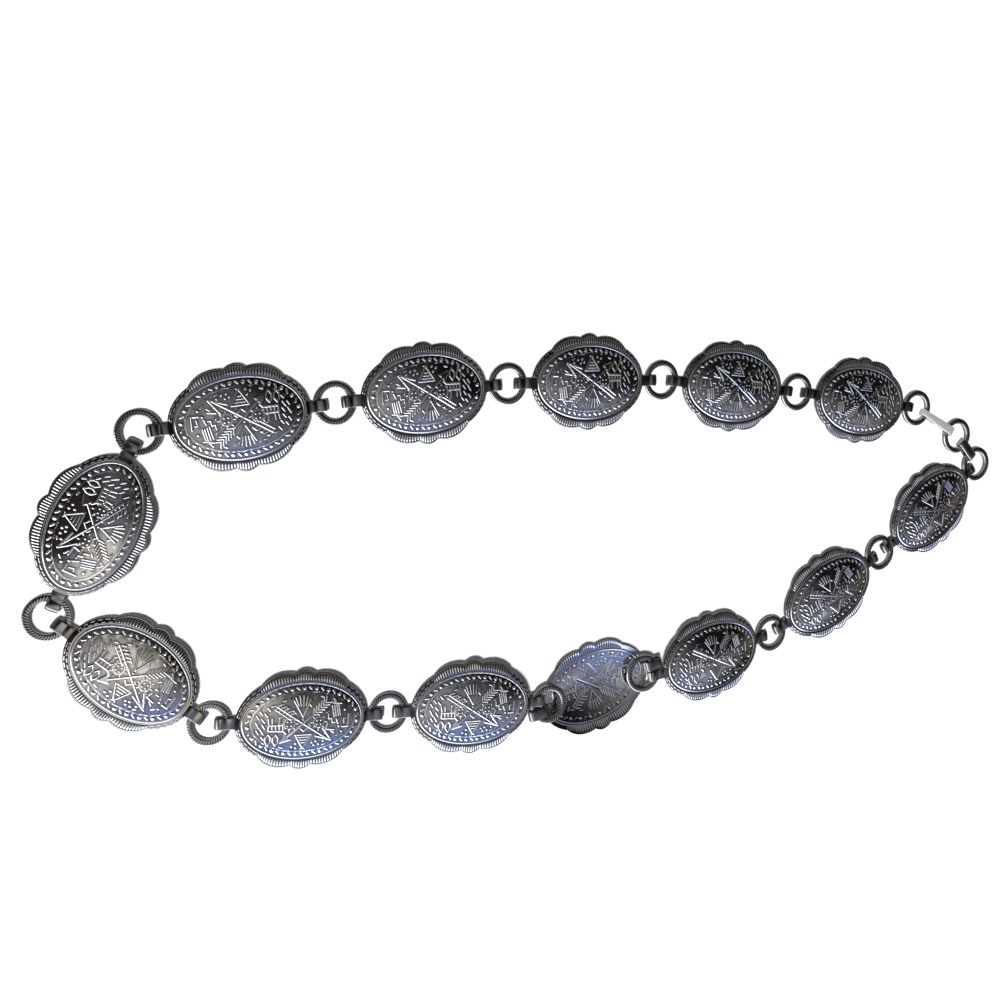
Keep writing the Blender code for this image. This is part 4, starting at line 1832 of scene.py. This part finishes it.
# The rings' field and cut colours are far darker than the shells': a painted shade for the dark that the
# rings mirror.
ROPE_SILVER = MetalFinish(
    "rope_silver",
    bright=(0.9, 0.9, 0.9), dull=(0.24, 0.235, 0.23), painted_shade=(0.06, 0.06, 0.06),
    gloss=(0.1, 0.22), grain=0.25,
)
STRIP_SILVER = MetalFinish(
    "strip_silver",
    bright=(0.92, 0.92, 0.93), dull=(0.8, 0.8, 0.82), painted_shade=(0.2, 0.2, 0.2),
    gloss=(0.1, 0.2), grain=0.2,
)
# The hook's colour is paler and warmer than the other steel: a painted sheen for the cream light on it.
BRUSHED_STRIP = MetalFinish(
    "brushed_strip",
    bright=(0.97, 0.95, 0.91), dull=(0.9, 0.88, 0.85), painted_shade=(0.3, 0.3, 0.3),
    gloss=(0.35, 0.45), grain=0.2, metal=0.65,
)


@dataclass(frozen=True)
class FloorFinish:
    """Plain matt white paper.

    Attributes:
        name: The material's name.
        colour: Its colour.
        roughness: Its roughness.
        fibres: Size of its fibres, in waves a metre.
        grain: Strength of their bump.
        shine: How much light it gives by itself, as over a light table.
    """

    name: str = "white_paper"
    colour: tuple[float, float, float] = (0.92, 0.92, 0.915)
    roughness: float = 0.9
    fibres: float = 900.0
    grain: float = 0.05
    shine: float = 0.045

    def material(self) -> bpy.types.Material:
        """Make the material.

        Returns:
            The material.
        """
        material = bpy.data.materials.new(self.name)
        material.use_nodes = True
        graph = Graph(material.node_tree)
        place = graph.add("ShaderNodeTexCoord").outputs["Object"]
        inputs = {"Vector": place, "Scale": self.fibres, "Detail": 2.0}
        fibres = graph.add("ShaderNodeTexNoise", inputs).outputs[0]
        inputs = {"Strength": self.grain, "Distance": 0.1 * MM, "Height": fibres}
        bump = graph.add("ShaderNodeBump", inputs).outputs[0]
        shader = graph.add(
            "ShaderNodeBsdfPrincipled",
            {
                "Base Color": self.colour + (1.0,), "Roughness": self.roughness, "Specular IOR Level": 0.0,
                "Emission Color": (1.0, 1.0, 1.0, 1.0), "Emission Strength": self.shine, "Normal": bump,
            },
        )
        graph.add("ShaderNodeOutputMaterial", {"Surface": shader.outputs[0]})
        return material


# Where the frame's own pieces lie

# A fold's corners lie this close to the farthest point of a shell's solid, in millimetres
CORNER_BAND = 0.3

# Each ring is turned on by this many degrees from the last, so that no two look alike
RING_TURN = 137.5


def node_points(name: str) -> np.ndarray:
    """The different points of a node's solid, in millimetres.

    Args:
        name: The node's name.

    Returns:
        Rows of x, y and z.
    """
    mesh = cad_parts[name].data
    flat = np.empty(3 * len(mesh.vertices), np.float32)
    mesh.vertices.foreach_get("co", flat)
    return np.unique(np.round(flat.reshape(-1, 3).astype(float) / MM, 3), axis=0)


def ring_middle(name: str) -> Vector:
    """Centre of a ring, in metres."""
    low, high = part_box(name)
    return (low + high) / 2


def ring_names() -> list[str]:
    """The rings that the shells hang between, from the hook's own ring to the last shell's."""
    return ["ring_hook_end"] + [f"ring_{k:02d}" for k in range(1, CONCHOS)] + ["ring_tail"]


def shell_place(number: int) -> Matrix:
    """Where a shell lies, read from the corners of its solid's two folds and its domed side.

    Args:
        number: The shell's number, from 1.

    Returns:
        Its matrix, in metres.
    """
    points = node_points(f"concho_{number:02d}")
    away = np.linalg.norm(points - points.mean(axis=0), axis=1)
    corners = points[away > away.max() - CORNER_BAND]
    origin = corners.mean(axis=0)
    names = ring_names()
    ahead = np.array(ring_middle(names[number]) - ring_middle(names[number - 1]))
    far = corners[(corners - origin) @ ahead > 0.0]
    forward = far.mean(axis=0) - origin
    along = forward / np.linalg.norm(forward)
    aside = far[0] - far.mean(axis=0)
    aside -= along * (aside @ along)
    up = np.cross(along, aside / np.linalg.norm(aside))
    if up @ (points.mean(axis=0) - origin) < 0.0:
        up = -up
    turn = Matrix([along, np.cross(up, along), up]).transposed()
    return Matrix.Translation(Vector(origin * MM)) @ turn.to_4x4()


def strip_place(start: str, end: str, radius: float) -> tuple[Matrix, float]:
    """Where a clasp strip lies between two rings.

    Args:
        start: The ring at its near end.
        end: The ring at its far end.
        radius: Radius of a ring's middle line, in millimetres.

    Returns:
        Its matrix, in metres, and the distance between the two bands in millimetres.
    """
    first, last = ring_middle(start), ring_middle(end)
    run = last - first
    heading = Matrix.Rotation(math.atan2(run.y, run.x), 4, "Z")
    return Matrix.Translation(first + run.normalized() * radius * MM) @ heading, run.length / MM - 2 * radius


@dataclass
class Belt:
    """The whole belt on the frame.

    Attributes:
        shell: The shells' sizes.
        ring: The rings' sizes.
        clasp: The clasp's sizes.
    """

    shell: Shell = field(default_factory=Shell)
    ring: RopeRing = field(default_factory=RopeRing)
    clasp: Clasp = field(default_factory=Clasp)

    def piece(self, name: str, mesh: bpy.types.Mesh, place: Matrix, node: str, slot: Slot) -> None:
        """Set one piece in its place and tie it to the frame.

        Args:
            name: The piece's name.
            mesh: Its mesh, already dressed.
            place: Its matrix, in metres.
            node: The solid that it stands for.
            slot: The record's material slot, not used.
        """
        piece = bpy.data.objects.new(name, mesh)
        piece.matrix_world = place
        bpy.context.scene.collection.objects.link(piece)
        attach(piece, "root")
        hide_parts(node)
        LOG.info("%s stands for %s, %d faces", name, node, len(mesh.polygons))

    def add_shells(self) -> None:
        """Lay the thirteen shells."""
        mesh = self.shell.mesh()
        mesh.materials.append(WORN_SILVER.material())
        for number in range(1, CONCHOS + 1):
            node = f"concho_{number:02d}"
            self.piece(f"stamped_{node}", mesh, shell_place(number), node, Slot.CONCHO)

    def add_rings(self) -> None:
        """Lay the rings, each turned its own way."""
        mesh = self.ring.mesh()
        mesh.materials.append(ROPE_SILVER.material())
        for number, node in enumerate(ring_names() + ["ring_eye"]):
            turn = Matrix.Rotation(math.radians(RING_TURN * number), 4, "Z")
            place = Matrix.Translation(ring_middle(node)) @ turn
            self.piece(f"rope_{node}", mesh, place, node, Slot.RING)

    def add_clasp(self) -> None:
        """Lay the hook strip and the connector strip."""
        radius = self.ring.middle_radius()
        place, span = strip_place("ring_hook_end", "ring_eye", radius)
        hook = self.clasp.hook(span).mesh()
        hook.materials.append(BRUSHED_STRIP.material())
        self.piece("hook_strip", hook, place, "hook", Slot.CLASP)
        place, span = strip_place("ring_tail", "ring_eye", radius)
        connector = self.clasp.connector(span).mesh()
        connector.materials.append(STRIP_SILVER.material())
        self.piece("connector_strip", connector, place, "connector", Slot.CLASP)

    def build(self) -> None:
        """Make and place every piece."""
        self.add_shells()
        self.add_rings()
        self.add_clasp()


# Light, floor and camera

@dataclass(frozen=True)
class Card:
    """A small round card over the belt that only the metal mirrors.

    Attributes:
        name: Its name.
        place: Its middle, in metres.
        radius: Its radius, in metres.
        core: Share of the radius inside which it doesn't fade.
        light: Its light.
        corners: Corners of its outline.
    """

    name: str
    place: tuple[float, float, float]
    radius: float
    core: float
    light: tuple[float, float, float]
    corners: int = 24

    def material(self) -> bpy.types.Material:
        """Light that fades out towards the card's edge.

        Returns:
            The material.
        """
        material = bpy.data.materials.new(self.name)
        material.use_nodes = True
        graph = Graph(material.node_tree)
        place = graph.add("ShaderNodeTexCoord").outputs["Object"]
        away = graph.add("ShaderNodeVectorMath", {0: place}, operation="LENGTH").outputs["Value"]
        share = graph.spread(away, (self.radius, self.core * self.radius))
        light = graph.add("ShaderNodeEmission", {"Color": self.light + (1.0,), "Strength": 1.0})
        clear = graph.add("ShaderNodeBsdfTransparent")
        mixed = graph.add("ShaderNodeMixShader", {0: share, 1: clear.outputs[0], 2: light.outputs[0]})
        graph.add("ShaderNodeOutputMaterial", {"Surface": mixed.outputs[0]})
        return material

    def hang(self) -> None:
        """Hang the card, facing down."""
        turns = [2 * math.pi * k / self.corners for k in range(self.corners)]
        points = [(self.radius * math.cos(turn), self.radius * math.sin(turn), 0.0) for turn in turns]
        mesh = bpy.data.meshes.new(self.name)
        mesh.from_pydata(points, [], [tuple(reversed(range(self.corners)))])
        mesh.materials.append(self.material())
        card = bpy.data.objects.new(self.name, mesh)
        card.location = self.place
        for way in ("camera", "diffuse", "shadow", "transmission"):
            setattr(card, f"visible_{way}", False)
        bpy.context.scene.collection.objects.link(card)


class Glow(Enum):
    """Soft round patches of the room overhead, each laid over those before it.

    Each has its middle, its reach and its light. The middle and the reach are slopes of the look:
    how far it goes to the right, and to the back, for each step up.
    """

    BENCH = ((1.0, -0.75), (0.9, 0.6), (0.4, 0.39, 0.42))
    BACK_WALL = ((0.8, 1.35), (0.9, 0.75), (0.3, 0.285, 0.26))
    WINDOW = ((0.4, -1.5), (1.05, 1.15), (0.19, 0.42, 1.05))
    CEILING = ((-0.08, -0.32), (0.38, 0.5), (0.5, 0.49, 0.5))
    SIDE_LAMP = ((-0.42, -0.65), (0.45, 0.45), (1.0, 0.96, 0.88))
    FAR_LAMP = ((1.9, -0.35), (0.7, 0.7), (0.2, 0.165, 0.12))

    def lay(self, graph: Graph, right: object, back: object, under: object) -> bpy.types.NodeSocket:
        """Blend the patch over what is under it.

        Args:
            graph: The world's nodes.
            right: Slope of the look to the right.
            back: Slope of the look to the back.
            under: Light under the patch.

        Returns:
            The light, with the patch's own at its middle and none of it beyond its reach.
        """
        middle, reach, light = self.value
        right = graph.math("DIVIDE", graph.math("SUBTRACT", right, middle[0]), reach[0])
        back = graph.math("DIVIDE", graph.math("SUBTRACT", back, middle[1]), reach[1])
        square = graph.math("ADD", graph.math("MULTIPLY", right, right), graph.math("MULTIPLY", back, back))
        return graph.blend(graph.spread(graph.math("SQRT", square), (1.0, 0.0)), under, light)


@dataclass(frozen=True)
class Room:
    """The room that the metal mirrors, with a bright wall at its near left side.

    A span is where a light starts and where it is full, in the slope or the height that it goes
    by. The height is 0 at the horizon and 1 straight up.

    Attributes:
        brown: Light overhead to the left.
        grey: Light overhead in the middle.
        grey_span: Slopes to the right over which brown turns to grey.
        cool: Light overhead towards the near side.
        cool_span: Slopes to the back over which it takes over.
        dark: Light towards the far right.
        dark_way: How much the slopes to the right and to the back count towards it.
        dark_span: Their sum where it is all dark, and where it isn't dark any more.
        strip: Light of the dark strip low down.
        strip_span: Heights over which it takes over.
        ground: Light under that.
        ground_span: Heights over which it takes over.
        wall_way: The way to the bright wall, to the right and to the back.
        wall_sides: How much the look goes that way at the wall's sides and where it is full.
        wall_top: Heights between which it starts at the top.
        wall_foot: Heights between which it ends at the foot.
        wall: Light of the wall.
        wall_sky: Light of its upper part.
        sky_span: Heights over which that takes over.
        least_height: Height under which the slopes grow no further.
    """

    brown: tuple[float, float, float] = (0.12, 0.1, 0.09)
    grey: tuple[float, float, float] = (0.34, 0.335, 0.345)
    grey_span: tuple[float, float] = (-0.45, 0.15)
    cool: tuple[float, float, float] = (0.29, 0.31, 0.42)
    cool_span: tuple[float, float] = (-0.15, -0.75)
    dark: tuple[float, float, float] = (0.01, 0.009, 0.008)
    dark_way: tuple[float, float] = (0.75, 0.55)
    dark_span: tuple[float, float] = (0.5, -0.1)
    strip: tuple[float, float, float] = (0.05, 0.05, 0.05)
    strip_span: tuple[float, float] = (0.35, 0.1)
    ground: tuple[float, float, float] = (0.3, 0.3, 0.31)
    ground_span: tuple[float, float] = (0.3, 0.12)
    wall_way: tuple[float, float] = (-0.45, -0.89)
    wall_sides: tuple[float, float] = (0.42, 0.76)
    wall_top: tuple[float, float] = (0.6, 0.45)
    wall_foot: tuple[float, float] = (-0.3, 0.0)
    wall: tuple[float, float, float] = (3.1, 3.1, 3.1)
    wall_sky: tuple[float, float, float] = (1.75, 2.1, 2.8)
    sky_span: tuple[float, float] = (0.35, 0.55)
    least_height: float = 0.05

    def overhead(self, graph: Graph, right: object, back: object) -> bpy.types.NodeSocket:
        """Light from above, by the slopes of the look to the right and to the back.

        Args:
            graph: The world's nodes.
            right: Slope to the right.
            back: Slope to the back.

        Returns:
            The light.
        """
        light = graph.blend(graph.spread(right, self.grey_span), self.brown, self.grey)
        light = graph.blend(graph.spread(back, self.cool_span), light, self.cool)
        far = graph.weigh(right, self.dark_way[0], back, self.dark_way[1])
        light = graph.blend(graph.spread(far, self.dark_span), self.dark, light)
        for glow in Glow:
            light = glow.lay(graph, right, back, light)
        return light

    def near_wall(self, graph: Graph, right: object, back: object, up: object) -> bpy.types.NodeSocket:
        """Share of the bright wall in what is seen, by the look's parts along the three axes.

        Args:
            graph: The world's nodes.
            right: Part of the look to the right.
            back: Part of it to the back.
            up: Part of it upwards.

        Returns:
            The share, from 0 to 1.
        """
        facing = graph.weigh(right, self.wall_way[0], back, self.wall_way[1])
        level = graph.math("SQRT", graph.math("SUBTRACT", 1.0, graph.math("MULTIPLY", up, up)))
        turned = graph.math("DIVIDE", facing, graph.math("MAXIMUM", level, 0.01))
        sides, top = graph.spread(turned, self.wall_sides), graph.spread(up, self.wall_top)
        share = graph.math("MULTIPLY", sides, top)
        return graph.math("MULTIPLY", share, graph.spread(up, self.wall_foot))

    def build(self) -> None:
        """Make the world's light."""
        world = bpy.data.worlds.new("room")
        bpy.context.scene.world = world
        world.use_nodes = True
        world.cycles_visibility.diffuse = False
        graph = Graph(world.node_tree)
        way = graph.add("ShaderNodeTexCoord").outputs["Generated"]
        right, back, up = graph.add("ShaderNodeSeparateXYZ", {0: way}).outputs
        lift = graph.math("MAXIMUM", up, self.least_height)
        slopes = [graph.math("DIVIDE", part, lift) for part in (right, back)]
        light = self.overhead(graph, *slopes)
        light = graph.blend(graph.spread(up, self.strip_span), light, self.strip)
        light = graph.blend(graph.spread(up, self.ground_span), light, self.ground)
        wall = graph.blend(graph.spread(up, self.sky_span), self.wall, self.wall_sky)
        light = graph.blend(self.near_wall(graph, right, back, up), light, wall)
        sky = graph.add("ShaderNodeBackground", {"Color": light, "Strength": 1.0})
        graph.add("ShaderNodeOutputWorld", {"Surface": sky.outputs[0]})


@dataclass(frozen=True)
class Studio:
    """Floor, light and camera.

    Attributes:
        eye: The camera's place.
        gaze: Its rotation, in degrees.
        lens: Its focal length, in millimetres.
        sensor: Width of its sensor, in millimetres.
        floor_size: Side of the floor, in metres.
        floor_gap: How far it lies under the belt, in millimetres.
        key_way: The way that the key light falls.
        key_strength: Its strength.
        key_spread: How broad it looks, in degrees.
        key_colour: Its colour.
        lamp: The warm card that gleams in the seventh shell.
        screen: The dark card that the sixth shell mirrors.
        room: What the metal mirrors all round.
    """

    eye: tuple[float, float, float] = (-0.27071, 0.10953, 0.48171)
    gaze: tuple[float, float, float] = (-9.454, -25.067, -0.098)
    lens: float = 43.618
    sensor: float = 36.0
    floor_size: float = 6.0
    floor_gap: float = 0.02
    key_way: tuple[float, float, float] = (0.55, 0.05, -1.0)
    key_strength: float = 4.0
    key_spread: float = 9.0
    key_colour: tuple[float, float, float] = (1.0, 0.99, 0.97)
    lamp: Card = Card("lamp", (-0.189, -0.055, 0.112), 0.06, 0.2, (1.2, 1.12, 0.95))
    screen: Card = Card("dark_screen", (-0.25, 0.03, 0.1), 0.064, 0.6, (0.03, 0.024, 0.022))
    room: Room = Room()

    def add_camera(self) -> None:
        """Put the camera where the photograph was taken from."""
        data = bpy.data.cameras.new("camera")
        data.lens = self.lens
        data.sensor_width = self.sensor
        data.clip_start = 0.01
        camera = bpy.data.objects.new("camera", data)
        camera.location = self.eye
        camera.rotation_euler = Euler([math.radians(angle) for angle in self.gaze], "XYZ")
        bpy.context.scene.collection.objects.link(camera)
        bpy.context.scene.camera = camera

    def add_floor(self) -> None:
        """Lay the plain floor under the belt, which the metal doesn't mirror."""
        half = self.floor_size / 2
        mesh = bpy.data.meshes.new("floor")
        corners = [(-half, -half, 0.0), (half, -half, 0.0), (half, half, 0.0), (-half, half, 0.0)]
        mesh.from_pydata(corners, [], [(0, 1, 2, 3)])
        mesh.materials.append(FloorFinish().material())
        floor = bpy.data.objects.new("floor", mesh)
        floor.location.z = CAD_BOX[0][2] - self.floor_gap * MM
        floor.visible_glossy = False
        bpy.context.scene.collection.objects.link(floor)

    def add_key(self) -> None:
        """Hang the soft key light far off over the left of the belt."""
        data = bpy.data.lights.new("key", "SUN")
        data.energy = self.key_strength
        data.angle = math.radians(self.key_spread)
        data.color = self.key_colour
        light = bpy.data.objects.new("key", data)
        light.rotation_euler = Vector(self.key_way).to_track_quat("-Z", "Y").to_euler()
        light.visible_glossy = False
        bpy.context.scene.collection.objects.link(light)

    def build(self) -> None:
        """Set up the whole studio."""
        bpy.context.scene.view_settings.view_transform = "Standard"
        self.add_camera()
        self.add_floor()
        self.add_key()
        self.lamp.hang()
        self.screen.hang()
        self.room.build()
        LOG.info("studio is set")


def main() -> None:
    """Build the studio and the belt in order."""
    logging.basicConfig(level=logging.INFO, format="%(message)s")
    Studio().build()
    Belt().build()


if __name__ == "__main__":
    main()
